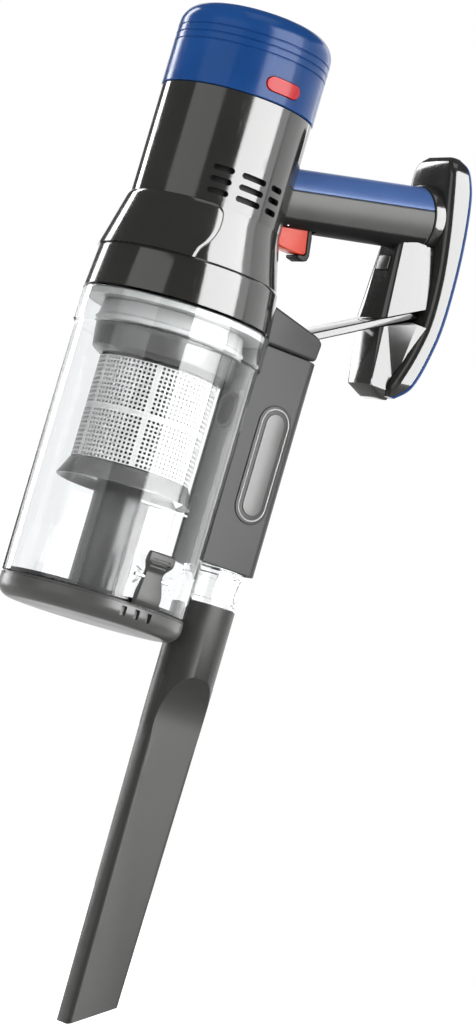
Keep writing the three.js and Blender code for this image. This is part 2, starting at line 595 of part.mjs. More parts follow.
function makeLatch() {
  const lever = alongX(outline([[2.1, -16], [-1.2, -17], [-2.6, -10], [-2.2, 1], [-4.6, 14], [-2, 15.6],
    [0.8, 6],
    [2.1, 0]].map(([y, z]) => [latchY + y, latchZ + z])), -LATCH_HALF_WIDTH, LATCH_HALF_WIDTH);
  add('bin_latch', cut(lever, onLatch(LATCH_PIN_RADIUS + 0.2 + GAP, -12, 12)), 'darkGrey');
  add('latch_pin', onLatch(LATCH_PIN_RADIUS, -LATCH_HALF_WIDTH - 3.4, LATCH_HALF_WIDTH + 3.4), 'steel');
}

function makeLid() {
  const edge = CUP_RADIUS - 0.4;
  const rounding = 8.6;
  const curve = Array.from({ length: 5 }, (_, i) => {
    const angle = i / 4 * Math.PI / 2;
    return [edge - rounding + rounding * Math.sin(angle), rounding - rounding * Math.cos(angle)];
  });
  const plug = cupInner - 3.2;
  const rim = LID_HEIGHT - GAP;
  const shell = turned([[0, 0], ...curve, [edge, rim], [plug, rim], [plug, LID_HEIGHT + 3], [plug - 2,
    LID_HEIGHT + 3],
    [plug - 2, LID_HEIGHT - 8], [0, LID_HEIGHT - 8]]);
  const arm = block(-6.8, 6.8, edge - 4, hingeY, hingeZ - 3.2, hingeZ + 1.4);
  const slots = [-10, -1, 8].map((angle) => block(
    -1.2, 1.2, -edge - 2, -edge + 1.4, LID_HEIGHT - 6, LID_HEIGHT - 1.6).rotate([0, 0, angle]));
  add('bin_lid', cut(joined(shell, onHinge(3.4, -6.8, 6.8), arm),
    onHinge(HINGE_PIN_RADIUS + HINGE_PIN_GAP, -20, 20), ...slots), 'darkGrey');
  add('lid_seal', tube(cupInner - SLIDE_GAP - 0.2, plug + 0.15, LID_HEIGHT + 0.1, LID_HEIGHT + 2.8),
    'rubber');
}

function makeCyclone() {
  const flangeLow = CUP_TOP - 4;
  const collarTop = flangeLow - GAP;
  const collarLow = collarTop - 30;
  const meshLow = collarLow - GAP - MESH_HEIGHT;
  const collarInside = MESH_RADIUS + 4.2;
  add('cyclone_flange', tube(bandRadius - 3 - GAP, collarInside, flangeLow, CUP_TOP - 0.4), 'darkGrey');
  add('cup_seal', tube(bandRadius - 7.6, bandRadius - 11.1, CUP_TOP - 0.1, CUP_TOP + 1.3), 'rubber');
  add('cyclone_collar', turned([[MESH_RADIUS + 6.6, collarTop], [MESH_RADIUS + 7.6, collarTop - 12.3],
    [MESH_RADIUS + 6.2, collarLow + 3.2], [MESH_RADIUS + 1, collarLow], [MESH_RADIUS - 1.4, collarLow],
    [MESH_RADIUS + 3.8, collarLow + 4.7], [MESH_RADIUS + 5, collarTop - 12.3], [collarInside,
    collarTop]]), 'darkGrey');
  add('mesh_screen', tube(MESH_RADIUS, MESH_RADIUS - 1, meshLow, meshLow + MESH_HEIGHT), 'steel');
  const skirtTop = meshLow - GAP;
  const columnHole = COLUMN_RADIUS + GAP;
  add('cyclone_skirt', turned([[MESH_RADIUS + 0.4, skirtTop], [MESH_RADIUS + 5.4, skirtTop - 11],
    [MESH_RADIUS + 4, skirtTop - 11.6], [MESH_RADIUS, skirtTop - 7], [columnHole, skirtTop - 7],
    [columnHole, skirtTop - 5], [MESH_RADIUS - 1.4, skirtTop - 5], [MESH_RADIUS - 1.4, skirtTop]]),
    'darkGrey');
  add('dust_column', tube(COLUMN_RADIUS, COLUMN_RADIUS - 1.6, LID_HEIGHT - 6, skirtTop - 5.5, 32),
    'darkGrey');
  add('pre_motor_filter', tube(MESH_RADIUS - 8, 12, CUP_TOP - 47.6, CUP_TOP - 1, 24), 'white');
}

// ---- intake duct on the cup ----
function makeDuct() {
  const clearCup = disc(bandRadius + GAP, 0, CUP_TOP + 60);
  const outer = loft([DUCT_BOTTOM, CUP_TOP].map((z) => roundedRing(
    z, bandRadius - 11.6, ductBack, ductHalfWidth, DUCT_CORNER, 4)));
  const inner = loft([DUCT_BOTTOM - 5, CUP_TOP - DUCT_WALL].map((z) => roundedRing(
    z, bandRadius - 17.6, ductBack - DUCT_WALL, ductHalfWidth - DUCT_WALL, DUCT_CORNER - DUCT_WALL, 4)));
  const onFace = (grow, y0, y1) => moved(alongY(pillOutline(BADGE_LENGTH + 2 * grow,
    BADGE_WIDTH + 2 * grow), y0, y1)
    .rotate([0, 90, 0]), ductX + 0.6, -ductHalfWidth, DUCT_BOTTOM + 66);
  add('duct_cover', cut(outer, inner, clearCup, onFace(GAP, -12, 0.7)), 'graphite');
  add('badge_plate', onFace(0, -1, 0.7 - GAP), 'graphite');
  const pipeTop = portZ + portRadius + 5;
  const spigotLow = NECK_BOTTOM - SPIGOT_LENGTH;
  const upright = moved(joined(disc(pipeRadius, spigotLow, pipeTop, 32),
    disc(neckRadius, NECK_BOTTOM, DUCT_BOTTOM - GAP, 32)), ductX, 0, 0);
  const stubStart = cupInner - 1.6;
  const stub = moved(disc(portRadius, 0, ductX - stubStart, SMALL).rotate([0, 90, 0]), stubStart, 0, portZ);
  const bore = moved(disc(PIPE_BORE, spigotLow - 2, pipeTop - PIPE_WALL, 32), ductX, 0, 0);
  const stubBore = moved(disc(portRadius - PIPE_WALL, 0, ductX - stubStart + 3, SMALL).rotate([0, 90, 0]),
    stubStart - 3, 0, portZ);
  const release = [ductX - 6.2, ductX + 9.8, -neckRadius - 1.1, -PIPE_BORE - 2.4, NECK_BOTTOM + 3.1,
    NECK_BOTTOM + 18.9];
  const [x0, x1, y0, , z0, z1] = release;
  const pocket = block(x0 - SLIDE_GAP, x1 + SLIDE_GAP, y0 - 10, -PIPE_BORE - 0.9, z0 - SLIDE_GAP,
    z1 + SLIDE_GAP);
  add('intake_pipe', cut(joined(upright, stub), bore, stubBore, pocket), 'clear');
  add('nozzle_release', block(...release), 'clear');
}

// ---- crevice nozzle ----
function makeNozzle() {
  const top = NECK_BOTTOM - GAP;
  const bore = pipeRadius + SLIDE_GAP;
  const collar = bore + 3.2;
  const slopeTop = top - NOZZLE_ROUND_LENGTH;
  const slopeLow = slopeTop - 34;
  const tip = top - NOZZLE_LENGTH;
  const half = NOZZLE_THICKNESS / 2;
  const build = (inset, high) => {
    const wedge = alongX(outline([[-collar, high], [-collar + inset, slopeTop], [inset - half, slopeLow],
      [inset - half, slopeLow - 6], [half - inset, slopeLow - 6], [half - inset, slopeLow],
      [collar - inset, slopeTop], [collar, high]]), ductX - 60, ductX + 60);
    const round = common(moved(disc(collar - inset, slopeLow - 5, high, 32), ductX, 0, 0), wedge);
    const [left, right] = [ductX - collar + 0.4 + inset, ductX + collar - 0.2 - inset];
    const blade = loft([
      roundedRing(slopeTop - 4, left, right, half - inset, 3 - Math.min(inset, 1.5), 2),
      roundedRing(tip - 20, left + 3.2, right - 3.2, half - inset, 3 - Math.min(inset, 1.5), 2)]);
    return joined(round, blade);
  };
  const tipCorner = ductX - collar + 3.4;
  const slantAt = (x) => [x, tip + (x - tipCorner) * Math.tan(NOZZLE_TIP_ANGLE)];
  const slant = alongY(outline([slantAt(ductX - 60), slantAt(ductX + 60), [ductX + 60, tip - 160],
    [ductX - 60, tip - 160]]), -30, 30);
  const socket = moved(disc(bore, top - SPIGOT_LENGTH - 1.5, top + 5, 32), ductX, 0, 0);
  add('crevice_nozzle', cut(build(0, top), build(NOZZLE_WALL, top - SPIGOT_LENGTH - 1), socket, slant),
    'satinGrey');
}

makeHousing();
makeShroud();
makeMotor();
makeCap();
const handleSkin = makeHandle();
makeTrigger();
makeBattery();
makeDuctHead();
makeDock(handleSkin);
makeCup();
makeLatch();
makeLid();
makeCyclone();
makeDuct();
makeNozzle();

export default group;
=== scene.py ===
# Handheld cyclone vacuum: the looks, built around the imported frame. Metres, +Z up the motor axis.
import json
import math

import bmesh
import bpy
from mathutils import Matrix, Vector


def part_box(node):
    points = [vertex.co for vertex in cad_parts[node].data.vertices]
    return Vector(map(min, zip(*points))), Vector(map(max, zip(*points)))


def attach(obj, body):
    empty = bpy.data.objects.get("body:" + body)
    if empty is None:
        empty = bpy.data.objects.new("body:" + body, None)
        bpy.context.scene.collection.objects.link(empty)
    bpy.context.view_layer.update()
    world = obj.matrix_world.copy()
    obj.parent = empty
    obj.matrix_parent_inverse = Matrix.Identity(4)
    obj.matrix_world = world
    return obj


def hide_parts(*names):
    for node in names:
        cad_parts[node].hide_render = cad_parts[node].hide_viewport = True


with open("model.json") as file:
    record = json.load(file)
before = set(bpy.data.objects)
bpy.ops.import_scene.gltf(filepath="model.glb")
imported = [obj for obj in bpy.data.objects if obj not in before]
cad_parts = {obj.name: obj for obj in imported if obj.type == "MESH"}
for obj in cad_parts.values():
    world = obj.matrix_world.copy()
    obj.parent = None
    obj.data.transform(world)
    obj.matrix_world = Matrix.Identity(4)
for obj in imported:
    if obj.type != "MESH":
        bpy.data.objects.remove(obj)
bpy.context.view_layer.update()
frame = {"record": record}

MM = 0.001
ROUND = 192              # sides of the large round shells
SMALL = 48               # sides of the small round pieces
GAP = 0.3 * MM           # between pieces that part at a joint

# ---------------------------------------------------------------- sizes from the frame


def low_high(node):
    low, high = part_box(node)
    return Vector(low), Vector(high)


def middle(node):
    low, high = low_high(node)
    return (low + high) / 2


def reach(node):
    """The node's lowest and highest points and its radius."""
    low, high = low_high(node)
    return low.z, high.z, high.x


CAP_LOW, CAP_TOP, CAP_R = reach("rear_cap")
SHROUD_LOW, SHROUD_TOP, SHROUD_R = reach("shroud")
HOUSING_R = low_high("motor_housing")[1].x
CREASE_Z = SHROUD_LOW + 25 * MM       # where the shroud turns in to the flare
CREASE_R = SHROUD_R - 2 * MM
CUP_TOP = low_high("dust_cup")[1].z
CUP_BAND_R = -low_high("dust_cup")[0].x
CUP_R = CUP_BAND_R - 1.6 * MM
CUP_WALL = 2.4 * MM
BAND_LOW = CUP_TOP - 20 * MM
LID_TOP = 13.7 * MM
LID_R = -low_high("bin_lid")[0].x
PIPE_X = middle("crevice_nozzle").x
DUCT_LOW, DUCT_HIGH = low_high("duct_cover")
DUCT_HALF = 17.3 * MM
JOINTS = {joint["name"]: joint for joint in frame["record"]["behaviour"]["joints"]}
TILT = math.radians(12)
GRIP_LEVEL = 266.9 * MM
GRIP = Matrix.Translation((0, 0, GRIP_LEVEL)) @ Matrix.Rotation(-TILT, 4, "Y")
GRIP_R = 18.7 * MM
GRIP_END_R = 19.6 * MM
GRIP_REACH = 148 * MM
GRIP_SPLIT = 4.5 * MM    # how far the seam between the grip's shells lies above its middle
EDGE_EASE = 0.35 * MM

# ---------------------------------------------------------------- shader groups


def node(tree, kind, inputs=None, **settings):
    made = tree.nodes.new(kind)
    for key, value in settings.items():
        setattr(made, key, value)
    for key, value in (inputs or {}).items():
        if isinstance(value, bpy.types.NodeSocket):
            tree.links.new(value, made.inputs[key])
        else:
            made.inputs[key].default_value = value
    return made


def group_tree(name, inputs, outputs, kind="ShaderNodeTree"):
    """A node group with named sockets; returns the tree, what it is given and what it gives back."""
    tree = bpy.data.node_groups.new(name, kind)
    for label, socket_type, default in inputs:
        made = tree.interface.new_socket(label, in_out="INPUT", socket_type="NodeSocket" + socket_type)
        if default is not None:
            made.default_value = default
    for label, socket_type in outputs:
        tree.interface.new_socket(label, in_out="OUTPUT", socket_type="NodeSocket" + socket_type)
    return tree, tree.nodes.new("NodeGroupInput").outputs, tree.nodes.new("NodeGroupOutput").inputs


def own_place(tree):
    return node(tree, "ShaderNodeTexCoord").outputs["Object"]


def noise(tree, scale, detail=2.0, roughness=0.5, place=None):
    place = own_place(tree) if place is None else place
    return node(tree, "ShaderNodeTexNoise", {"Vector": place, "Scale": scale, "Detail": detail,
                                             "Roughness": roughness}).outputs["Fac"]


def ranged(tree, value, low, high, to_low=0.0, to_high=1.0):
    return node(tree, "ShaderNodeMapRange", {"Value": value, "From Min": low, "From Max": high, "To Min": to_low,
                                             "To Max": to_high}).outputs["Result"]


def maths(tree, operation, first, second=0.0, third=0.0, clamp=False):
    return node(tree, "ShaderNodeMath", {0: first, 1: second, 2: third}, operation=operation,
                use_clamp=clamp).outputs[0]


def make_moulded_surface():
    """Fine mould texture, handling smudges and faint scratches, as a height, a smudge mask and a scratch mask."""
    tree, given, result = group_tree(
        "moulded surface",
        [("Grain Size", "Float", 900.0), ("Grain", "Float", 0.5), ("Smudge Size", "Float", 22.0)],
        [("Height", "Float"), ("Smudge", "Float"), ("Scratch", "Float")])
    height = maths(tree, "MULTIPLY", noise(tree, given["Grain Size"], 3.0), given["Grain"])
    smudge = ranged(tree, noise(tree, given["Smudge Size"], 5.0, 0.6), 0.42, 0.72)
    stretched = node(tree, "ShaderNodeMapping", {"Vector": own_place(tree), "Scale": (60.0, 900.0, 60.0),
                                                 "Rotation": (0.3, 0.5, 0.8)})
    scratch = ranged(tree, noise(tree, 1.0, place=stretched.outputs["Vector"]), 0.66, 0.74)
    for label, value in (("Height", height), ("Smudge", smudge), ("Scratch", scratch)):
        tree.links.new(value, result[label])
    return tree


def make_edge_wear():
    """A mask of worn, lighter edges, broken up by noise."""
    tree, given, result = group_tree("edge wear", [("Width", "Float", 0.0006), ("Amount", "Float", 1.0)],
                                     [("Edge", "Float")])
    soft = node(tree, "ShaderNodeBevel", {"Radius": given["Width"]}, samples=4)
    plain = node(tree, "ShaderNodeNewGeometry")
    turn = node(tree, "ShaderNodeVectorMath", {0: soft.outputs["Normal"], 1: plain.outputs["Normal"]},
                operation="DOT_PRODUCT")
    edge = ranged(tree, turn.outputs["Value"], 0.985, 0.9)
    broken = ranged(tree, noise(tree, 160.0, 4.0), 0.38, 0.62)
    worn = maths(tree, "MULTIPLY", maths(tree, "MULTIPLY", edge, broken), given["Amount"], clamp=True)
    tree.links.new(worn, result["Edge"])
    return tree


def make_settled_dust():
    """Pale dust that lies on upward faces and in patches."""
    tree, given, result = group_tree("settled dust", [("Amount", "Float", 0.3), ("Patch Size", "Float", 35.0)],
                                     [("Dust", "Float")])
    patches = ranged(tree, noise(tree, given["Patch Size"], 8.0, 0.7), 0.45, 0.75)
    fine = node(tree, "ShaderNodeTexVoronoi", {"Vector": own_place(tree), "Scale": 1400.0})
    specks = ranged(tree, fine.outputs["Distance"], 0.22, 0.05)
    normal = node(tree, "ShaderNodeNewGeometry").outputs["Normal"]
    rise = node(tree, "ShaderNodeSeparateXYZ", {"Vector": normal}).outputs["Z"]
    upward = ranged(tree, rise, -0.2, 1.0, 0.25, 1.0)
    lying = maths(tree, "MULTIPLY", maths(tree, "MULTIPLY", patches, specks), upward)
    tree.links.new(maths(tree, "MULTIPLY", lying, given["Amount"], clamp=True), result["Dust"])
    return tree


SURFACE = make_moulded_surface()
EDGES = make_edge_wear()
DUST = make_settled_dust()


def use_group(tree, shared, **inputs):
    made = node(tree, "ShaderNodeGroup", node_tree=shared)
    for key, value in inputs.items():
        made.inputs[key].default_value = value
    return made.outputs


def mixed(tree, factor, first, second):
    """A colour mix of sockets or RGB triples."""
    first, second = (value if isinstance(value, bpy.types.NodeSocket) else (*value, 1) for value in (first, second))
    return node(tree, "ShaderNodeMix", {0: factor, 6: first, 7: second}, data_type="RGBA").outputs[2]


def times(colour, factor, add=0.0):
    return tuple(min(1.0, channel * factor + add) for channel in colour)


def new_material(name, **settings):
    """A material, its tree and its shader; settings are values of the shader's own sockets."""
    material = bpy.data.materials.new(name)
    material.use_nodes = True
    shader = material.node_tree.nodes["Principled BSDF"]
    for key, value in settings.items():
        shader.inputs[key.replace("_", " ")].default_value = value
    return material, material.node_tree, shader.inputs


def add_bump(tree, shader, strength, distance, height):
    raised = node(tree, "ShaderNodeBump", {"Strength": strength, "Distance": distance, "Height": height})
    tree.links.new(raised.outputs["Normal"], shader["Normal"])


def plastic(name, colour, roughness, grain, bump, wear, dust, shine=0.5):
    """Moulded plastic: mould grain, smudges in the gloss, worn edges and a little dust."""
    material, tree, shader = new_material(name, Specular_IOR_Level=shine, IOR=1.5)
    surface = use_group(tree, SURFACE, Grain=grain)
    edges = use_group(tree, EDGES, Amount=wear)
    dusty = use_group(tree, DUST, Amount=dust)
    smudged = tuple(channel * SMUDGE_LIFT for channel in colour)
    tinted = mixed(tree, surface["Smudge"], colour, smudged)
    edged = mixed(tree, edges["Edge"], tinted, times(colour, WORN_LIFT, 0.02))
    tree.links.new(mixed(tree, dusty["Dust"], edged, DUST_ON_PLASTIC), shader["Base Color"])
    gloss = ranged(tree, surface["Smudge"], 0.0, 1.0, roughness, roughness + SMUDGE_DULLS)
    scratched = maths(tree, "MULTIPLY", surface["Scratch"], SCRATCH_DULLS)
    tree.links.new(maths(tree, "ADD", gloss, scratched), shader["Roughness"])
    add_bump(tree, shader, bump, GRAIN_DEEP, surface["Height"])
    return material


def clear_plastic(name, tint, roughness, bend, coat):
    """Clear moulded plastic with faint moulding ripple, haze and fine dust."""
    material, tree, shader = new_material(name, Transmission_Weight=1.0, IOR=bend, Coat_Weight=coat,
                                          Coat_Roughness=0.03)
    surface = use_group(tree, SURFACE, Grain=0.05)
    dusty = use_group(tree, DUST, Amount=0.12)
    tree.links.new(mixed(tree, dusty["Dust"], tint, DUST_ON_CLEAR), shader["Base Color"])
    haze = ranged(tree, surface["Smudge"], 0.0, 1.0, roughness, roughness + 0.05)
    tree.links.new(haze, shader["Roughness"])
    add_bump(tree, shader, 0.02, RIPPLE_DEEP, noise(tree, 30.0, 1.0))
    return material


def metal(name, colour, roughness, stretch):
    """Brushed or drawn metal with streaks along one direction."""
    material, tree, shader = new_material(name, Metallic=1.0)
    stretched = node(tree, "ShaderNodeMapping", {"Vector": own_place(tree), "Scale": stretch})
    streaks = noise(tree, 1.0, 4.0, place=stretched.outputs["Vector"])
    edges = use_group(tree, EDGES, Amount=0.5)
    base = mixed(tree, streaks, times(colour, 0.85), colour)
    tree.links.new(mixed(tree, edges["Edge"], base, times(colour, 1.3)), shader["Base Color"])
    tree.links.new(ranged(tree, streaks, 0.0, 1.0, roughness - 0.08, roughness + 0.1), shader["Roughness"])
    add_bump(tree, shader, 0.08, STREAK_DEEP, streaks)
    return material


def felt(name, colour):
    """Pleated filter felt with loose fibres."""
    material, tree, shader = new_material(name, Roughness=0.95, Sheen_Weight=0.3)
    patches = noise(tree, 60.0, 3.0)
    tree.links.new(mixed(tree, patches, times(colour, 0.8), colour), shader["Base Color"])
    add_bump(tree, shader, 0.5, FIBRE_DEEP, noise(tree, 1500.0, 6.0))
    return material


SMUDGE_LIFT, WORN_LIFT = 1.12, 1.9       # how much lighter a smudge and a worn edge are
SMUDGE_DULLS, SCRATCH_DULLS = 0.07, 0.12 # and how much rougher a smudge and a scratch are
DUST_ON_PLASTIC, DUST_ON_CLEAR = (0.42, 0.4, 0.37), (0.75, 0.74, 0.72)
GRAIN_DEEP, RIPPLE_DEEP, STREAK_DEEP, FIBRE_DEEP = 0.0002, 0.0006, 0.0001, 0.0004

# each plastic: name, colour, roughness, grain, bump, wear, dust and, where it is a satin, how much it shines
GRAPHITE = plastic("graphite gloss", (0.026, 0.026, 0.0245), 0.09, 0.1, 0.01, 0.3, 0.08)
GRAPHITE_SATIN = plastic("graphite satin", (0.05, 0.051, 0.05), 0.34, 0.3, 0.02, 0.4, 0.1, 0.11)
GRIP_GREY = plastic("grip grey", (0.115, 0.116, 0.112), 0.3, 0.4, 0.03, 0.4, 0.1, 0.12)
# The grip's blue is a paler copy of the deep blue: partly the grip's own satin tone, partly a painted highlight
# standing in for the top softbox's broad sheen
GRIP_BLUE_PAINTED_HIGHLIGHT = plastic("grip blue with painted highlight", (0.07, 0.15, 0.4), 0.32, 0.3, 0.02, 0.3, 0.05, 0.15)
DARK = plastic("dark satin", (0.024, 0.024, 0.023), 0.22, 0.4, 0.03, 0.4, 0.1, 0.3)
LID_GREY = plastic("lid grey", (0.08, 0.08, 0.078), 0.3, 0.4, 0.03, 0.4, 0.12, 0.3)
BLUE = plastic("deep blue gloss", (0.012, 0.068, 0.25), 0.16, 0.1, 0.01, 0.25, 0.05, 0.1)
RED = plastic("signal red", (0.6, 0.008, 0.014), 0.16, 0.1, 0.01, 0.3, 0.04, 0.14)
ORANGE = plastic("trigger orange", (0.8, 0.07, 0.035), 0.22, 0.2, 0.02, 0.3, 0.04, 0.1)
LATCH_GREY = plastic("latch grey", (0.06, 0.06, 0.058), 0.28, 0.4, 0.03, 0.5, 0.12, 0.16)
NOZZLE_GREY = plastic("nozzle grey", (0.042, 0.042, 0.0395), 0.36, 0.7, 0.05, 0.6, 0.15, 0.13)
RUBBER = plastic("black rubber", (0.01, 0.01, 0.01), 0.5, 0.9, 0.1, 0.1, 0.12, 0.1)
LIGHT_RIM = plastic("badge rim", (0.4, 0.4, 0.395), 0.25, 0.1, 0.01, 0.2, 0.04)
PRINT = plastic("white print", (0.95, 0.95, 0.94), 0.5, 0.2, 0.01, 0.3, 0.05)
FROSTED = plastic("frosted rim", (0.2, 0.203, 0.2), 0.3, 0.3, 0.02, 0.3, 0.1, 0.25)
BOARD = plastic("circuit green", (0.02, 0.12, 0.05), 0.35, 0.2, 0.02, 0.1, 0.1)
CELL = plastic("cell wrap", (0.05, 0.3, 0.18), 0.25, 0.1, 0.01, 0.2, 0.05)
SCREEN_METAL = plastic("screen grey", (0.24, 0.24, 0.236), 0.3, 0.2, 0.01, 0.5, 0.1, 0.3)
CLEAR = clear_plastic("clear plastic", (0.955, 0.965, 0.97), 0.01, 1.11, 0.42)
CLEAR_THICK = clear_plastic("thick clear plastic", (0.93, 0.94, 0.943), 0.03, 1.24, 0.3)
STEEL = metal("bright steel", (0.5, 0.5, 0.5), 0.34, (40.0, 40.0, 1800.0))
COPPER = metal("lacquered copper", (0.72, 0.34, 0.16), 0.35, (900.0, 900.0, 60.0))
FELT = felt("filter felt", (0.8, 0.79, 0.74))
DARK_FELT = felt("charcoal felt", (0.03, 0.03, 0.03))

SLOTS = {
    "graphite_gloss": GRAPHITE, "dark_plastic": DARK, "blue_plastic": BLUE, "red_plastic": RED,
    "orange_plastic": ORANGE, "satin_grey_plastic": NOZZLE_GREY, "clear_plastic": CLEAR, "black_rubber": RUBBER,
    "bright_steel": STEEL, "copper_winding": COPPER, "circuit_board": BOARD, "cell_wrap": CELL, "filter_felt": FELT,
}

# ---------------------------------------------------------------- mesh helpers


def linked(name, data):
    made = bpy.data.objects.new(name, data)
    bpy.context.scene.collection.objects.link(made)
    return made


def mm(*points):
    """Points given in millimetres, in metres."""
    return [tuple(value * MM for value in point) for point in points]


def finish_mesh(name, mesh, material, body, stands_for=(), sharp=35):
    """Names the piece, gives it its finish, and hands it to the body that it moves with."""
    mesh.name = name
    mesh.materials.clear()
    mesh.materials.append(material)
    for polygon in mesh.polygons:
        polygon.material_index = 0
        polygon.use_smooth = True
    mesh.set_sharp_from_angle(angle=math.radians(sharp))
    piece = linked(name, mesh)
    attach(piece, body)
    if stands_for:
        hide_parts(*stands_for)
    return piece


def mesh_of(vertices, faces):
    mesh = bpy.data.meshes.new("mesh")
    mesh.from_pydata([tuple(v) for v in vertices], [], faces)
    built = bmesh.new()
    built.from_mesh(mesh)
    bmesh.ops.remove_doubles(built, verts=built.verts, dist=1e-6)
    bmesh.ops.dissolve_degenerate(built, edges=built.edges, dist=1e-7)
    bmesh.ops.recalc_face_normals(built, faces=built.faces)
    if built.calc_volume(signed=True) < 0:
        bmesh.ops.reverse_faces(built, faces=built.faces)
    built.to_mesh(mesh)
    built.free()
    return mesh


def revolve(profile, sides=ROUND, radius_at=None):
    """A round mesh about Z from (radius, z) points. A profile off the axis closes on itself."""
    on_axis = profile[0][0] == 0 and profile[-1][0] == 0
    vertices = []
    for i in range(sides):
        angle = 2 * math.pi * i / sides
        for r, z in profile:
            radius = radius_at(angle, r, z) if radius_at else r
            vertices.append((radius * math.cos(angle), radius * math.sin(angle), z))
    count = len(profile)
    faces = []
    last = count - 1 if on_axis else count
    for i in range(sides):
        j = (i + 1) % sides
        for k in range(last):
            m = (k + 1) % count
            faces.append((i * count + k, j * count + k, j * count + m, i * count + m))
    return mesh_of(vertices, faces)


def rounded(profile, radius=0.5 * MM, steps=3, closed=True):
    """Rounds each corner of a (radius, z) profile with a small arc."""
    points = [Vector(p) for p in profile]
    count = len(points)
    result = []
    for i, corner in enumerate(points):
        if not closed and i in (0, count - 1):
            result.append(tuple(corner))
            continue
        before, after = points[i - 1], points[(i + 1) % count]
        reach = min(radius, (before - corner).length * 0.45, (after - corner).length * 0.45)
        start = corner + (before - corner).normalized() * reach
        end = corner + (after - corner).normalized() * reach
        for s in range(steps + 1):
            t = s / steps
            point = start.lerp(corner, t).lerp(corner.lerp(end, t), t)
            result.append(tuple(point))
    return result


def loft(rings, capped=True):
    """A closed skin through rings of equal point counts."""
    count = len(rings[0])
    vertices = [point for ring in rings for point in ring]
    faces = []
    for i in range(len(rings) - 1):
        for j in range(count):
            k = (j + 1) % count
            faces.append((i * count + j, i * count + k, (i + 1) * count + k, (i + 1) * count + j))
    if capped:
        faces.append(tuple(range(count)))
        faces.append(tuple(range((len(rings) - 1) * count, len(rings) * count)))
    else:
        first = (len(rings) - 1) * count
        faces += [(first + j, first + (j + 1) % count, (j + 1) % count, j) for j in range(count)]
    return mesh_of(vertices, faces)


def rounded_rectangle(x0, x1, half, corner, z, steps=8):
    radius = min(corner, (x1 - x0) / 2 - 1e-5, half - 1e-5)
    corners = [(x1 - radius, half - radius), (x0 + radius, half - radius),
               (x0 + radius, radius - half), (x1 - radius, radius - half)]
    ring = []
    for quarter, (cx, cy) in enumerate(corners):
        for s in range(steps + 1):
            angle = (quarter + s / steps) * math.pi / 2
            ring.append((cx + radius * math.cos(angle), cy + radius * math.sin(angle), z))
    return ring


def pill(length, width, steps=16):
    """Outline of a bar with round ends, along its first axis."""
    straight, radius = (length - width) / 2, width / 2
    points = []
    for side, start in ((1, -90), (-1, 90)):
        for s in range(steps + 1):
            angle = math.radians(start + 180 * s / steps)
            points.append((side * straight + radius * math.cos(angle), radius * math.sin(angle)))
    return points


def extrude(outline, low, high, place):
    """Extrudes a flat outline; place(a, b, depth) gives each point's position."""
    count = len(outline)
    vertices = [place(a, b, low) for a, b in outline] + [place(a, b, high) for a, b in outline]
    faces = [tuple(range(count)), tuple(range(count, 2 * count))]
    faces += [(i, (i + 1) % count, count + (i + 1) % count, count + i) for i in range(count)]
    return mesh_of(vertices, faces)


def along_y(outline, low, high):
    return extrude(outline, low, high, lambda a, b, depth: (a, depth, b))


def along_x(outline, low, high):
    return extrude(outline, low, high, lambda a, b, depth: (depth, a, b))


def box_mesh(x0, x1, y0, y1, z0, z1):
    return along_y([(x0, z0), (x1, z0), (x1, z1), (x0, z1)], y0, y1)


def rod(radius, start, end, sides=SMALL):
    """A plain round bar from one point to another."""
    start, end = Vector(start), Vector(end)
    turn = (end - start).to_track_quat("Z", "Y")
    rings = []
    for centre in (start, end):
        rings.append([tuple(centre + turn @ Vector((radius * c, radius * s, 0))) for c, s in circle(sides)])
    return loft(rings)


def evaluated(worked, *others):
    """The mesh of a worked object with its modifiers applied; the objects are removed."""
    graph = bpy.context.evaluated_depsgraph_get()
    mesh = bpy.data.meshes.new_from_object(worked.evaluated_get(graph))
    for extra in (worked, *others):
        bpy.data.objects.remove(extra)
    return mesh


def boolean(mesh, *tools, operation="DIFFERENCE"):
    worked = linked("temporary", mesh)
    extras = []
    for tool in tools:
        other = linked("temporary", tool)
        extras.append(other)
        step = worked.modifiers.new("step", "BOOLEAN")
        step.operation = operation
        step.object = other
        step.solver = "EXACT"
    return evaluated(worked, *extras)


def bevelled(mesh, width, segments=3, angle=30):
    worked = linked("temporary", mesh)
    step = worked.modifiers.new("step", "BEVEL")
    step.width = width
    step.segments = segments
    step.limit_method = "ANGLE"
    step.angle_limit = math.radians(angle)
    step.use_clamp_overlap = True
    step.harden_normals = False
    return evaluated(worked)


def moved(mesh, matrix):
    mesh.transform(matrix)
    return mesh


def spun(mesh, degrees):
    return moved(mesh, Matrix.Rotation(math.radians(degrees), 4, "Z"))


def joined(*meshes):
    built = bmesh.new()
    for mesh in meshes:
        built.from_mesh(mesh)
    result = bpy.data.meshes.new("joined")
    built.to_mesh(result)
    built.free()
    return result


def circle(sides):
    """The cosine and sine of each corner of a round outline."""
    return [(math.cos(a), math.sin(a)) for a in (2 * math.pi * i / sides for i in range(sides))]


def facing_front(x, z):
    """Places an outline upright about a point, facing -Y."""
    return lambda a, b, depth: (a + x, depth, b + z)


def run_nodes(mesh, tree, values, *others):
    """The mesh that a Geometry Nodes tree makes of a start mesh, with the tree's inputs set by name."""
    worked = linked("temporary", mesh)
    step = worked.modifiers.new("nodes", "NODES")
    step.node_group = tree
    for item in tree.interface.items_tree:
        if item.in_out == "INPUT" and item.name in values:
            step[item.identifier] = values[item.name]
    return evaluated(worked, *others)


# ---------------------------------------------------------------- camera and light


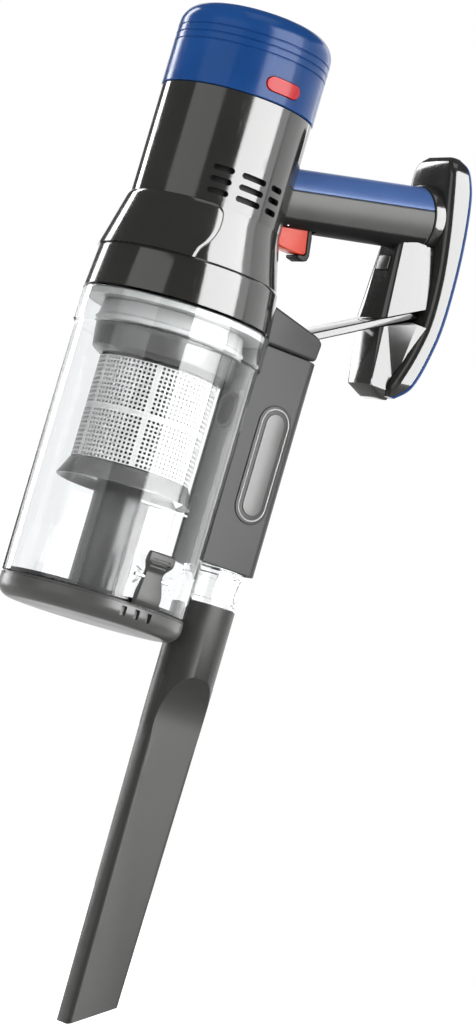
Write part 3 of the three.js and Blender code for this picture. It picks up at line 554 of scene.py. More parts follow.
def make_camera():
    """The view from low in front and to the cup's side, rolled so that the machine leans to the right."""
    azimuth, elevation, roll = math.radians(-32), math.radians(-5.4), math.radians(16.2)
    target = Vector((57.5, -36, 85.5)) * MM
    distance = 2040 * MM
    back = Vector((math.sin(azimuth) * math.cos(elevation), -math.cos(azimuth) * math.cos(elevation),
                   math.sin(elevation)))
    data = bpy.data.cameras.new("camera")
    data.sensor_width = 36
    data.lens = 122
    camera = linked("camera", data)
    camera.location = target + back * distance
    camera.rotation_mode = "QUATERNION"
    camera.rotation_quaternion = ((-back).to_track_quat("-Z", "Y").to_matrix().to_4x4()
                                  @ Matrix.Rotation(roll, 4, "Z")).to_quaternion()
    bpy.context.scene.camera = camera


def softbox(name, azimuth, height, distance, width, tall, power, in_gloss_only):
    """A soft rectangular light at an azimuth from -Y towards +X, aimed at the machine's middle. Clear parts
    pass on only the lights in front."""
    data = bpy.data.lights.new(name, "AREA")
    data.shape = "RECTANGLE"
    data.size = width
    data.size_y = tall
    data.energy = power
    light = linked(name, data)
    angle = math.radians(azimuth)
    light.location = (math.sin(angle) * distance, -math.cos(angle) * distance, height)
    aim = Vector((0, 0, 0.2)) - light.location
    light.rotation_mode = "QUATERNION"
    light.rotation_quaternion = aim.to_track_quat("-Z", "Y")
    light.visible_camera = False
    light.visible_diffuse = not in_gloss_only
    light.visible_transmission = abs(azimuth) < 80


def make_lights():
    # name, azimuth, height, distance, width, tall, watts, seen in gloss only
    for settings in (
            ("key strip", 15, 0.5, 1.5, 1.32, 2.0, 158, True),
            ("key falloff", 47, 0.5, 1.5, 0.34, 2.0, 8, False),
            ("side card", 86, 0.5, 1.9, 2.2, 2.2, 36, True),
            ("wide fill", -76, 0.35, 1.7, 1.5, 1.5, 12, False),
            ("left rim strip", -164, 0.4, 1.6, 0.34, 1.9, 26, True),
            ("back card", 140, 0.5, 1.9, 2.0, 2.2, 20, True),
            ("top wash", -30, 1.9, 0.6, 1.0, 1.0, 6, False)):
        softbox(*settings)


def seen_directly(tree):
    """1 for what the eye sees directly or through clear plastic, otherwise 0."""
    rays = node(tree, "ShaderNodeLightPath")
    return rays, maths(tree, "MAXIMUM", rays.outputs["Is Camera Ray"], rays.outputs["Is Transmission Ray"])


def make_world():
    """White to the eye and through clear plastic, dim in reflections, so that gloss shows the softboxes."""
    world = bpy.data.worlds.new("studio")
    bpy.context.scene.world = world
    world.use_nodes = True
    tree = world.node_tree
    back = tree.nodes["Background"]
    rays, direct = seen_directly(tree)
    indirect = ranged(tree, rays.outputs["Is Glossy Ray"], 0.0, 1.0, 0.45, 0.14)
    strength = node(tree, "ShaderNodeMix", {"Factor": direct, 2: indirect, 3: 1.0})
    tree.links.new(strength.outputs[0], back.inputs["Strength"])
    back.inputs["Color"].default_value = (1, 1, 1, 1)


def make_floor():
    reach_out, thick, under_tip = 9, 0.02, 0.125
    floor_z = low_high("crevice_nozzle")[0].z - under_tip
    mesh = box_mesh(-reach_out, reach_out, -reach_out, reach_out, floor_z - thick, floor_z)
    material, tree, shader = new_material("pale floor", Roughness=0.7, Emission_Color=(1, 1, 1, 1))
    tree.links.new(mixed(tree, noise(tree, 6.0), (0.88, 0.88, 0.87), (0.9, 0.9, 0.9)), shader["Base Color"])
    tree.links.new(seen_directly(tree)[1], shader["Emission Strength"])
    mesh.materials.append(material)
    floor = linked("floor", mesh)


# ---------------------------------------------------------------- rear cap


def make_cap():
    wall, rounding = 2.3 * MM, 13 * MM
    outside = [(CAP_R - 0.5 * MM, CAP_LOW), (CAP_R, CAP_LOW + 0.5 * MM)]
    for rise in (26.5, 31, 35.5):
        z = CAP_LOW + rise * MM
        outside += [(CAP_R - deep * MM, z + up * MM) for deep, up in
                    ((0, -0.7), (0.25, -0.45), (0.7, -0.2), (0.7, 0.2), (0.25, 0.45), (0, 0.7))]

    def arc(inset, steps=14):
        radius = rounding - inset
        return [(CAP_R - rounding + radius * math.cos(a), CAP_TOP - rounding + radius * math.sin(a))
                for a in (math.pi / 2 * s / steps for s in range(steps + 1))]

    dish = [(CAP_R - rounding - 3 * MM, CAP_TOP), (CAP_R - rounding - 3.8 * MM, CAP_TOP - 0.6 * MM),
            (CAP_R - rounding - 5 * MM, CAP_TOP - 0.8 * MM), (0, CAP_TOP - 0.8 * MM)]
    inside = [(0, CAP_TOP - wall)] + arc(wall)[::-1] + [(CAP_R - wall, CAP_LOW)]
    shell = revolve(inside + outside + arc(0) + dish)
    button_z = middle("cap_button").z
    on_front = facing_front(0, button_z)
    hole = extrude(pill(24 * MM, 9.4 * MM), -CAP_R - 3 * MM, -CAP_R + 6 * MM, on_front)
    finish_mesh("rear_cap_shell", boolean(shell, hole), BLUE, "cap", ["rear_cap"])
    blank = extrude(pill(23 * MM, 8.4 * MM, 24), -CAP_R - 3 * MM, -CAP_R + 4 * MM, on_front)
    drum = revolve([(0, button_z - 0.01), (CAP_R + 0.9 * MM, button_z - 0.01), (CAP_R + 0.9 * MM, button_z + 0.01),
                    (0, button_z + 0.01)])
    face = bevelled(boolean(blank, drum, operation="INTERSECT"), 0.8 * MM, 4, 50)
    finish_mesh("cap_button_face", face, RED, "cap_button", ["cap_button"])
    bars = [box_mesh(x0 * MM, x1 * MM, -CAP_R + y0 * MM, -CAP_R + 12 * MM, button_z - 3 * MM, button_z + 3 * MM)
            for x0, x1, y0 in ((-15.6, -13.6, 4.6), (13.6, 15.6, 4.6), (-14, 14, 10.6))]
    finish_mesh("button_bridge", bevelled(joined(*bars), 0.3 * MM, 2), BLUE, "cap")


def make_filter():
    """The pleated exhaust filter ring inside the cap."""
    low, high = low_high("exhaust_filter")
    outer, inner, pleats, deep = high.x, 16 * MM, 60, 1.3 * MM

    def pleat(angle, r, z):
        if r < (outer + inner) / 2:
            return r
        return r - deep * (0.5 - 0.5 * math.cos(angle * pleats))

    profile = rounded([(inner, low.z), (outer, low.z), (outer, high.z), (inner, high.z)], 0.6 * MM)
    finish_mesh("exhaust_filter_ring", revolve(profile, pleats * 8, pleat), FELT, "cap",
                ["exhaust_filter"])


# ---------------------------------------------------------------- housing and shroud


def make_housing():
    low, high = low_high("motor_housing")
    top = CAP_LOW - GAP
    inner = HOUSING_R - 2.5 * MM
    neck = inner + 0.1 * MM
    profile = [(HOUSING_R, low.z), (HOUSING_R, top - 0.5 * MM), (HOUSING_R - 0.5 * MM, top), (neck, top),
               (neck, high.z - 0.3 * MM), (neck - 0.3 * MM, high.z), (neck - 2 * MM, high.z),
               (neck - 2 * MM, top - 3 * MM), (inner, top - 5 * MM), (inner, low.z)]
    shell = revolve(profile)
    slots = []
    for angle, span in ((-26, 16), (-1.5, 21), (21.5, 13)):      # degrees: each column's middle and its width
        for drop in (0, 7, 14):
            z = top - (46.5 + drop) * MM
            width = HOUSING_R * math.radians(span)
            slots.append(spun(extrude(pill(width, 3.6 * MM, 8), -HOUSING_R - 4 * MM, -HOUSING_R + 6 * MM,
                                      facing_front(0, z)), angle))
    finish_mesh("motor_housing_shell", boolean(shell, joined(*slots)), GRAPHITE, "main",
                ["motor_housing"], sharp=28)
    lining = revolve(rounded([(inner - 3.2 * MM, top - 64 * MM), (inner - 2.4 * MM, top - 64 * MM),
                              (inner - 2.4 * MM, top - 42 * MM), (inner - 3.2 * MM, top - 42 * MM)], 0.2 * MM))
    finish_mesh("vent_lining", lining, RUBBER, "main")


def flare_radius(z):
    """Radius of the flare between the crease and the housing."""
    rise = (z - CREASE_Z) / (SHROUD_TOP - CREASE_Z)
    return CREASE_R + (HOUSING_R + 0.12 * MM - CREASE_R) * min(1.0, rise)


def make_shroud():
    outer = [(SHROUD_R, SHROUD_LOW), (SHROUD_R, SHROUD_LOW + 0.6 * MM)]
    outer += [(CREASE_R + 0.35 * MM, CREASE_Z - 1.2 * MM), (CREASE_R, CREASE_Z),
              (CREASE_R - 0.7 * MM, CREASE_Z + 1 * MM)]
    outer += [(flare_radius(z) - 0.3 * MM, z) for z in
              (CREASE_Z + (SHROUD_TOP - CREASE_Z) * (s + 1) / 12 for s in range(11))]
    outer += [(HOUSING_R + 0.08 * MM, SHROUD_TOP)]
    inner = [(HOUSING_R - 1.2 * MM, SHROUD_TOP), (HOUSING_R - 1.2 * MM, SHROUD_TOP - 9 * MM),
             (CREASE_R - 2.2 * MM, CREASE_Z), (SHROUD_R - 2.2 * MM, SHROUD_LOW)]
    finish_mesh("shroud_shell", revolve(outer + inner), GRAPHITE, "main", ["shroud"], sharp=24)
    make_shield()


def make_shield():
    """The raised front shield: a thin plate wrapped on the flare, with a rolled edge and a rounded top corner."""
    # height in metres and the shield's half width there in degrees
    edge_table = [(CREASE_Z + 0.6 * MM, 61.5), (0.221, 63.6), (0.2255, 67.4), (0.230, 70.2), (0.235, 72.2),
                  (0.240, 73.0), (0.2445, 72.8), (0.2475, 71.4), (0.2492, 68.6), (SHROUD_TOP + 1.3 * MM, 62)]
    stations = smooth_stations(edge_table, 10)
    thick, roll, proud, sunk = 1.35 * MM, 3.2 * MM, 0.02 * MM, 0.7 * MM
    low, top = edge_table[0][0], edge_table[-1][0]

    def edge_at(z):
        for (z0, e0), (z1, e1) in zip(stations, stations[1:]):
            if z <= z1:
                return math.radians(e0 + (e1 - e0) * (z - z0) / max(1e-9, z1 - z0))
        return math.radians(edge_table[-1][1])

    rows, columns = 44, 150
    outer, inner = [], []
    for i in range(rows + 1):
        t = i / rows
        z = low + (top - low) * (1 - (1 - t) ** 1.6)
        edge = edge_at(z)
        base = flare_radius(z)
        for k in range(columns + 1):
            share = -1 + 2 * k / columns
            share = math.copysign(1 - (1 - abs(share)) ** 1.7, share)
            angle = math.pi + share * edge
            from_side = (1 - abs(share)) * edge * base
            near = min(from_side, (top - z) * 1.2, roll)
            lift = thick * math.sqrt(max(0.0, 1 - (1 - near / roll) ** 2)) + proud
            for skin, radius in ((outer, base + lift), (inner, base - sunk)):
                skin.append((radius * math.cos(angle), radius * math.sin(angle), z))
    width = columns + 1
    total = len(outer)
    faces = []
    for i in range(rows):
        for k in range(columns):
            a = i * width + k
            faces.append((a, a + 1, a + 1 + width, a + width))
            faces.append((total + a, total + a + width, total + a + 1 + width, total + a + 1))
    rim = list(range(width)) + [i * width + columns for i in range(1, rows + 1)]
    rim += [rows * width + k for k in range(columns - 1, -1, -1)] + [i * width for i in range(rows - 1, 0, -1)]
    faces += [(a, total + a, total + b, b) for a, b in zip(rim, rim[1:] + rim[:1])]
    finish_mesh("front_shield", mesh_of(outer + inner, faces), GRAPHITE, "main", sharp=40)


# ---------------------------------------------------------------- grip and trigger


def grip_section(radius_start, radius_end, u0, u1, low_angle, high_angle, wall, steps=72, rows=20):
    """A curved shell along the grip between two angles about its centre line, with eased edges."""
    rings = []
    for i in range(rows + 1):
        u = u0 + (u1 - u0) * i / rows
        radius = radius_start + (radius_end - radius_start) * (u - u0) / (u1 - u0)
        path = [(s, EDGE_EASE if s in (0, steps) else 0) for s in range(steps + 1)]
        path += [(s, wall) for s in range(steps, -1, -1)]
        ring = []
        for s, drop in path:
            angle = low_angle + (high_angle - low_angle) * s / steps
            ring.append(GRIP @ Vector((u, (radius - drop) * math.sin(angle), (radius - drop) * math.cos(angle))))
        rings.append(ring)
    return loft(rings)


def make_grip():
    split = math.acos(GRIP_SPLIT / GRIP_R)
    seam = 0.25 * MM / GRIP_R
    start = 40 * MM
    upper = grip_section(GRIP_R, GRIP_END_R, start, GRIP_REACH, -split + seam, split - seam, 2.6 * MM)
    # The upper shell's paler blue is partly a painted highlight
    finish_mesh("grip_upper_shell", upper, GRIP_BLUE_PAINTED_HIGHLIGHT, "main", ["handle_upper"])
    lower = grip_section(GRIP_R, GRIP_END_R, start, GRIP_REACH, split + seam, 2 * math.pi - split - seam, 2.6 * MM,
                         120)
    slot = moved(box_mesh(30 * MM, 71 * MM, -7.5 * MM, 7.5 * MM, -30 * MM, -9 * MM), GRIP)
    finish_mesh("grip_lower_shell", boolean(lower, slot), GRIP_GREY, "main", ["handle_lower"])
    # A black rubber strip along the grip's underside: painted shade, a dark sheet laid where the grip curves under
    # into shadow, not a separate part
    under = math.radians(128)
    pad = grip_section(GRIP_R + 0.45 * MM, GRIP_END_R + 0.3 * MM, 44 * MM, GRIP_REACH - 1 * MM, under,
                       2 * math.pi - under, 1 * MM, 60)
    finish_mesh("grip_underside_pad", boolean(pad, slot.copy()), RUBBER, "main")
    profile = rounded([(15 * MM, GRIP_REACH + 0.3 * MM), (20.6 * MM, GRIP_REACH + 0.3 * MM),
                       (21.3 * MM, GRIP_REACH + 3 * MM), (22 * MM, GRIP_REACH + 12 * MM),
                       (15 * MM, GRIP_REACH + 12 * MM)], 0.9 * MM, 4)
    ring = moved(revolve(profile), GRIP @ Matrix.Rotation(math.pi / 2, 4, "Y"))
    finish_mesh("grip_end_collar", boolean(ring, spine_clearance()), GRAPHITE, "main",
                ["handle_collar"])


def make_trigger():
    half = 6.7 * MM
    outline = [(45.5, -13), (66, -13), (65.7, -31), (64.6, -32.4), (60.5, -32.2), (52, -30.4), (46.6, -28.8),
               (45.5, -27.6)]
    body = moved(along_y(mm(*outline), -half, half), GRIP)
    finish_mesh("trigger_body", bevelled(body, 0.9 * MM, 4), ORANGE, "trigger", ["trigger"])
    edge = [(66.3, -14.5), (68.6, -17), (69.2, -22), (68.6, -33), (67.2, -35.8), (64.6, -36.6), (60.2, -34.6),
            (60.2, -32.7), (64.8, -32.9), (66, -31.8)]
    pad = moved(along_y(mm(*edge), -half, half), GRIP)
    finish_mesh("trigger_edge", bevelled(pad, 0.6 * MM, 3), RUBBER, "trigger", ["trigger_pad"])


# ---------------------------------------------------------------- battery, dock and strut

# the battery's height, front, back and share of its full width, in millimetres
SPINE = [(185.5, 151, 157, 0.56), (190, 149, 160.8, 0.78), (197, 149.6, 163.8, 0.91), (212, 153.4, 167.2, 0.98),
         (234, 157.4, 170.6, 1), (262, 157, 171, 1), (290, 153.2, 169.2, 1), (315, 148.2, 165.7, 0.98),
         (328, 146.2, 162.4, 0.91), (335, 146.8, 160, 0.78), (339, 149, 156.6, 0.56)]
SPINE_HALF = 27 * MM


def smooth_stations(stations, steps):
    """Catmull-Rom points through the stations."""
    result = []
    last = len(stations) - 1
    for i in range(last):
        before, a, b, after = (stations[max(0, min(last, i + k))] for k in (-1, 0, 1, 2))
        for s in range(steps):
            t = s / steps
            result.append(tuple(0.5 * (2 * q + (r - p) * t + (2 * p - 5 * q + 4 * r - w) * t ** 2
                                       + (3 * q - p - 3 * r + w) * t ** 3)
                                for p, q, r, w in zip(before, a, b, after)))
    result.append(tuple(stations[-1]))
    return result


def spine_mesh(front_inset, back_inset, side_inset, corner=5 * MM):
    rings = []
    stations = smooth_stations(SPINE, 5)
    for i, (z, front, back, share) in enumerate(stations):
        rise = side_inset if i == 0 else (-side_inset if i == len(stations) - 1 else 0)
        ring = rounded_rectangle(front * MM + front_inset, back * MM - back_inset,
                                 SPINE_HALF * share - side_inset, corner, z * MM + rise)
        rings.append([(x, y * (1 - 7.5 * max(0.0, back * MM - x)), w) for x, y, w in ring])
    return loft(rings)


def spine_clearance():
    """The battery's room in its neighbours."""
    return spine_mesh(-0.4 * MM, -0.4 * MM, -0.4 * MM)


def make_battery():
    cover = 3.8 * MM
    forward = spine_mesh(-20 * MM, cover + GAP, -5 * MM)
    cavity = spine_mesh(2 * MM, cover - 1 * MM, 2 * MM)
    case = boolean(boolean(spine_mesh(0, 0, 0), forward, operation="INTERSECT"), cavity)
    finish_mesh("battery_case_shell", case, GRAPHITE, "battery", ["battery_case"])
    back = boolean(spine_mesh(0, 0, 0), spine_mesh(-30 * MM, cover, -8 * MM))
    finish_mesh("battery_back_cover", back, BLUE, "battery", ["battery_cover"])


STRUT_A, STRUT_B = Vector((84, 203.6)), Vector((150.5, 239.4))
STRUT_SLOPE = (STRUT_B.y - STRUT_A.y) / (STRUT_B.x - STRUT_A.x)
STRUT_DEEP = 5 * math.hypot(1, STRUT_SLOPE)


def strut_top(x):
    return STRUT_A.y + (x - STRUT_A.x) * STRUT_SLOPE


def dock_mesh(corners, low, high):
    """A faceted block between two heights, from (x, y) corners at each; its flanks are split into triangles."""
    rings = []
    for z, points in ((low, corners[0]), (high, corners[1])):
        ring = points + [(x, -y) for x, y in reversed(points)]
        rings.append([(x * MM, y * MM, z * MM) for x, y in ring])
    count = len(rings[0])
    vertices = rings[0] + rings[1]
    faces = [tuple(range(count)), tuple(range(count, 2 * count))]
    half = count // 2
    for i in range(count):
        k = (i + 1) % count
        if i < half:
            faces += [(i, k, count + i), (k, count + k, count + i)]
        else:
            faces += [(i, k, count + k), (i, count + k, count + i)]
    return mesh_of(vertices, faces)


def wedge(lift, upwards):
    far = 400 if upwards else -400
    outline = [(60, strut_top(60) + lift), (400, strut_top(400) + lift), (400, far * 2), (60, far * 2)]
    return along_y(mm(*outline), -0.06, 0.06)


def make_press(button, rounding):
    """A small release button that fills its CAD box, with rounded edges."""
    low, high = low_high(button)
    press = bevelled(box_mesh(low.x, high.x, low.y, high.y, low.z, high.z), rounding, 3)
    finish_mesh(button + "_face", press, DARK, button, [button])


def make_dock():
    spine = spine_clearance()
    grip = moved(revolve([(0, 0.03), (GRIP_R + 0.4 * MM, 0.03), (GRIP_END_R + 0.4 * MM, GRIP_REACH + 0.4 * MM),
                          (22.4 * MM, GRIP_REACH + 0.5 * MM), (22.4 * MM, 0.22), (0, 0.22)]),
                 GRIP @ Matrix.Rotation(math.pi / 2, 4, "Y"))
    pocket = box_mesh(0.12, 134.2 * MM, -6.4 * MM, 6.4 * MM, 259.6 * MM, 269.4 * MM)
    upper_block = dock_mesh([[(131.4, -14.2), (134.2, -17.2), (154.5, -21.8), (161, -23.2)],
                             [(131, -8.5), (133.4, -10.8), (146, -13.6), (161, -15.2)]], 212, 282)
    upper = boolean(bevelled(upper_block, 0.9 * MM, 3, 12), wedge(0.3, True), operation="INTERSECT")
    finish_mesh("dock_upper_shell", boolean(upper, grip, spine, pocket), GRAPHITE, "main",
                ["dock_upper"], sharp=25)
    waist = [(136.8, -6.4), (138, -12.4), (152.6, -14), (153.6, -14)]
    lower_block = dock_mesh([waist, [(131.4, -12.5), (133.6, -15), (152, -23.6), (161, -23.9)]], 189, 232)
    foot = dock_mesh([[(146.6, -5.4), (147.6, -9.6), (152.4, -11.4), (153, -11.4)], waist], 183.4, 189)
    lower = boolean(bevelled(boolean(lower_block, foot, operation="UNION"), 0.9 * MM, 3, 12),
                    wedge(-STRUT_DEEP - 0.3, False), operation="INTERSECT")
    finish_mesh("dock_lower_shell", boolean(lower, spine), GRAPHITE, "main", ["dock_lower"],
                sharp=25)
    make_press("battery_release", 0.7 * MM)


def make_strut():
    outline = [tuple(STRUT_A), tuple(STRUT_B), (STRUT_B.x + 8, STRUT_B.y - STRUT_DEEP + 8 * STRUT_SLOPE),
               (STRUT_A.x, STRUT_A.y - STRUT_DEEP)]
    bar = along_y(mm(*outline), -14 * MM, 14 * MM)
    cut = boolean(bevelled(bar, 1 * MM, 3), spine_clearance())
    finish_mesh("strut_bar", cut, GRAPHITE, "main", ["strut"])


def make_duct_head():
    low = SHROUD_LOW / MM - 0.8
    outline = [(45, low), (93, low), (94.2, 200.5), (90, 203.5), (60, 210.5), (45, 214)]
    block = bevelled(along_y(mm(*outline), -DUCT_HALF, DUCT_HALF), 2.2 * MM, 4, 20)
    clear = revolve([(0, SHROUD_TOP + 0.01), (HOUSING_R, SHROUD_TOP + 0.01), (HOUSING_R + 0.5 * MM, SHROUD_TOP),
                     (CREASE_R - 0.1 * MM, CREASE_Z), (SHROUD_R - 0.1 * MM, SHROUD_LOW),
                     (SHROUD_R - 0.1 * MM, SHROUD_LOW - 0.01), (0, SHROUD_LOW - 0.01)])
    pocket = box_mesh(87.5 * MM, 0.099, -8.4 * MM, 8.4 * MM, 190.4 * MM, 198.6 * MM)
    finish_mesh("duct_head_shell", boolean(block, clear, pocket), GRAPHITE_SATIN, "main",
                ["duct_head"])
    make_press("cup_release", 0.8 * MM)


# ---------------------------------------------------------------- dust cup, lid and latch

HINGE = Vector(JOINTS["lid_swing"]["pos_m"])
LATCH = Vector(JOINTS["lid_latch_press"]["pos_m"])
PORT_Z = BAND_LOW - 22 * MM


def make_cup():
    low = LID_TOP + 0.6 * MM
    inner = CUP_R - CUP_WALL
    profile = rounded([(CUP_R, low), (CUP_R + 0.2 * MM, BAND_LOW - 1.5 * MM), (CUP_BAND_R, BAND_LOW + 0.4 * MM),
                       (CUP_BAND_R, CUP_TOP), (CUP_BAND_R - 3 * MM, CUP_TOP), (CUP_BAND_R - 3 * MM, BAND_LOW),
                       (inner, BAND_LOW - 2 * MM), (inner, low)], 0.6 * MM)
    port_radius = 11.3 * MM
    port = rod(port_radius, (0.04, 0, PORT_Z), (0.07, 0, PORT_Z))
    extras = []
    for x0, x1 in ((-13, -7.2), (7.2, 13)):           # the hinge's two arms and eyes
        arm = along_x([(HINGE.y - 3 * MM, HINGE.z), (HINGE.y + 3 * MM, HINGE.z), (CUP_R, 30 * MM),
                       (CUP_R - 1.2 * MM, 30 * MM), (CUP_R - 1.2 * MM, low + 1 * MM)], x0 * MM, x1 * MM)
        extras.append(arm)
        extras.append(rod(3.4 * MM, (x0 * MM, *HINGE.yz), (x1 * MM, *HINGE.yz)))
    for x0, x1 in ((-12.4, -9.8), (9.8, 12.4)):       # the latch's two ears
        extras.append(along_x([(-CUP_R - 5.4 * MM, LATCH.z - 3 * MM), (-CUP_R - 5.4 * MM, LATCH.z + 3 * MM),
                               (-CUP_R + 1.2 * MM, LATCH.z + 6 * MM), (-CUP_R + 1.2 * MM, LATCH.z - 6 * MM)],
                              x0 * MM, x1 * MM))
    whole = revolve(profile)
    for extra in extras:
        whole = boolean(whole, extra, operation="UNION")
    finish_mesh("dust_cup_clear", boolean(whole, port), CLEAR, "cup", ["dust_cup"])
    make_fill_mark()


def surface_strip(radius, z0, z1, start, end, thick, steps=40):
    """A thin strip on a cylinder between two azimuths from -Y towards +X."""
    rings = []
    for s in range(steps + 1):
        angle = math.radians(start + (end - start) * s / steps)
        across = Vector((math.sin(angle), -math.cos(angle), 0))
        rings.append([tuple(across * r + Vector((0, 0, z))) for r, z in
                      ((radius, z0), (radius + thick, z0), (radius + thick, z1), (radius, z1))])
    return loft(rings)


def make_fill_mark():
    """A plain fill line with an arrow tick above its end."""
    radius = CUP_R + 0.12 * MM
    line = surface_strip(radius, 70.4 * MM, 71.6 * MM, -19, 14, 0.2 * MM)
    ticks = [surface_strip(radius, (73 + i * 0.9) * MM, (73.9 + i * 0.9) * MM, 4 - 1.1 * i, 4 + 1.1 * i + 0.4,
                           0.2 * MM, 6) for i in range(4)]
    finish_mesh("fill_line", joined(line, *ticks), PRINT, "cup")


def make_lid():
    edge, rounding = LID_R, 8.6 * MM
    curve = [(edge - rounding + rounding * math.sin(a), rounding - rounding * math.cos(a))
             for a in (math.pi / 2 * s / 16 for s in range(17))]
    plug, floor = 50.4 * MM, 6 * MM
    side = [(edge, 11.9 * MM), (edge - 0.5 * MM, 12.2 * MM), (edge - 0.5 * MM, 12.6 * MM), (edge, 12.9 * MM),
            (edge, LID_TOP - 0.4 * MM), (edge - 0.4 * MM, LID_TOP)]
    inside = [(plug, LID_TOP), (plug, 17 * MM), (plug - 2 * MM, 17 * MM), (plug - 2 * MM, floor), (0, floor)]
    shell = revolve([(0, 0)] + curve + side + inside)
    slots = [spun(bevelled(box_mesh(-1.7 * MM, 1.7 * MM, -edge - 2 * MM, -edge + 3.4 * MM, 5.2 * MM, 10.8 * MM),
                           0.5 * MM, 2), angle) for angle in (-10, -1, 8)]
    finish_mesh("bin_lid_shell", boolean(shell, joined(*slots)), LID_GREY, "lid", ["bin_lid"])
    arm = box_mesh(-6.8 * MM, 6.8 * MM, edge - 4 * MM, HINGE.y, HINGE.z - 3.2 * MM, HINGE.z + 1.4 * MM)
    barrel = rod(3.4 * MM, (-6.8 * MM, *HINGE.yz), (6.8 * MM, *HINGE.yz))
    finish_mesh("lid_knuckle", joined(bevelled(arm, 0.5 * MM, 2), bevelled(barrel, 0.4 * MM, 2)), LID_GREY, "lid")


def make_latch():
    """The lever: a hooked thumb rest at the top, a waist at the pivot and a broad foot."""
    # height, front, back and half width, in millimetres
    stations = [(13.2, -60.4, -57.4, 8.2), (16, -61.6, -57.3, 8.4), (21, -62, -57.3, 8.2), (26, -61.2, -57.3, 7.2),
                (30, -60.6, -57.3, 6.4), (34, -60.8, -58, 6.3), (36.6, -62.6, -59, 7.4), (39, -64.2, -60, 8.8),
                (42.5, -64.6, -60.8, 9), (44.6, -64.3, -61.6, 8.8), (45.4, -63.4, -62.2, 8.2)]
    rings = []
    for z, front, back, half in smooth_stations(stations, 4):
        ring = rounded_rectangle(front * MM, back * MM, half * MM, 1.1 * MM, z * MM, 5)
        rings.append([(y, x, w) for x, y, w in ring])
    grooves = [box_mesh(-6 * MM, 6 * MM, -66 * MM, -62.1 * MM - (z - 36.5) * 0.26 * MM, z * MM, (z + 0.8) * MM)
               for z in (36.5, 38.6, 40.7)]
    lever = boolean(loft(rings), joined(*grooves))
    finish_mesh("lid_latch_lever", lever, LATCH_GREY, "lid_latch", ["bin_latch"])


# ---------------------------------------------------------------- cyclone


def make_cyclone():
    collar_top = low_high("cyclone_collar")[1].z
    profile = rounded(mm((43.8, 170.6), (43.4, 165), (42.2, 156.5), (37, 153.3),
                       (34.6, 153.3), (39.8, 158), (41, 170.6)), 0.8 * MM)
    finish_mesh("cyclone_collar_shell", revolve(profile), DARK, "cup", ["cyclone_collar"])
    rim = rounded([(42.6 * MM, collar_top), (44.2 * MM, 175 * MM), (45.4 * MM, 173.8 * MM), (45.4 * MM, 171.6 * MM),
                   (44 * MM, 171 * MM), (41 * MM, 171 * MM), (40.2 * MM, collar_top)], 0.5 * MM)
    finish_mesh("cyclone_collar_rim", revolve(rim), FROSTED, "cup")
    skirt = rounded(mm((36.4, 90), (38, 86.4), (41.4, 79.4), (41.3, 78.6),
                     (40, 78.4), (36, 83), (17.3, 83), (17.3, 85),
                     (34.6, 85), (34.6, 90)), 0.6 * MM)
    finish_mesh("cyclone_skirt_shell", revolve(skirt), DARK, "cup", ["cyclone_skirt"])
    finder = revolve(rounded(mm((31, 136), (30.6, 104), (25, 88), (23.4, 88),
                              (29, 104), (29.4, 136)), 0.5 * MM), 96)
    finish_mesh("vortex_finder", finder, RUBBER, "cup")
    low, high = low_high("dust_column")
    outer, inner = 17 * MM, 15.4 * MM
    column = revolve(rounded([(outer, low.z), (outer, high.z), (inner, high.z), (inner, low.z)], 0.4 * MM), 96)
    finish_mesh("dust_column_shell", column, DARK, "cup", ["dust_column"])


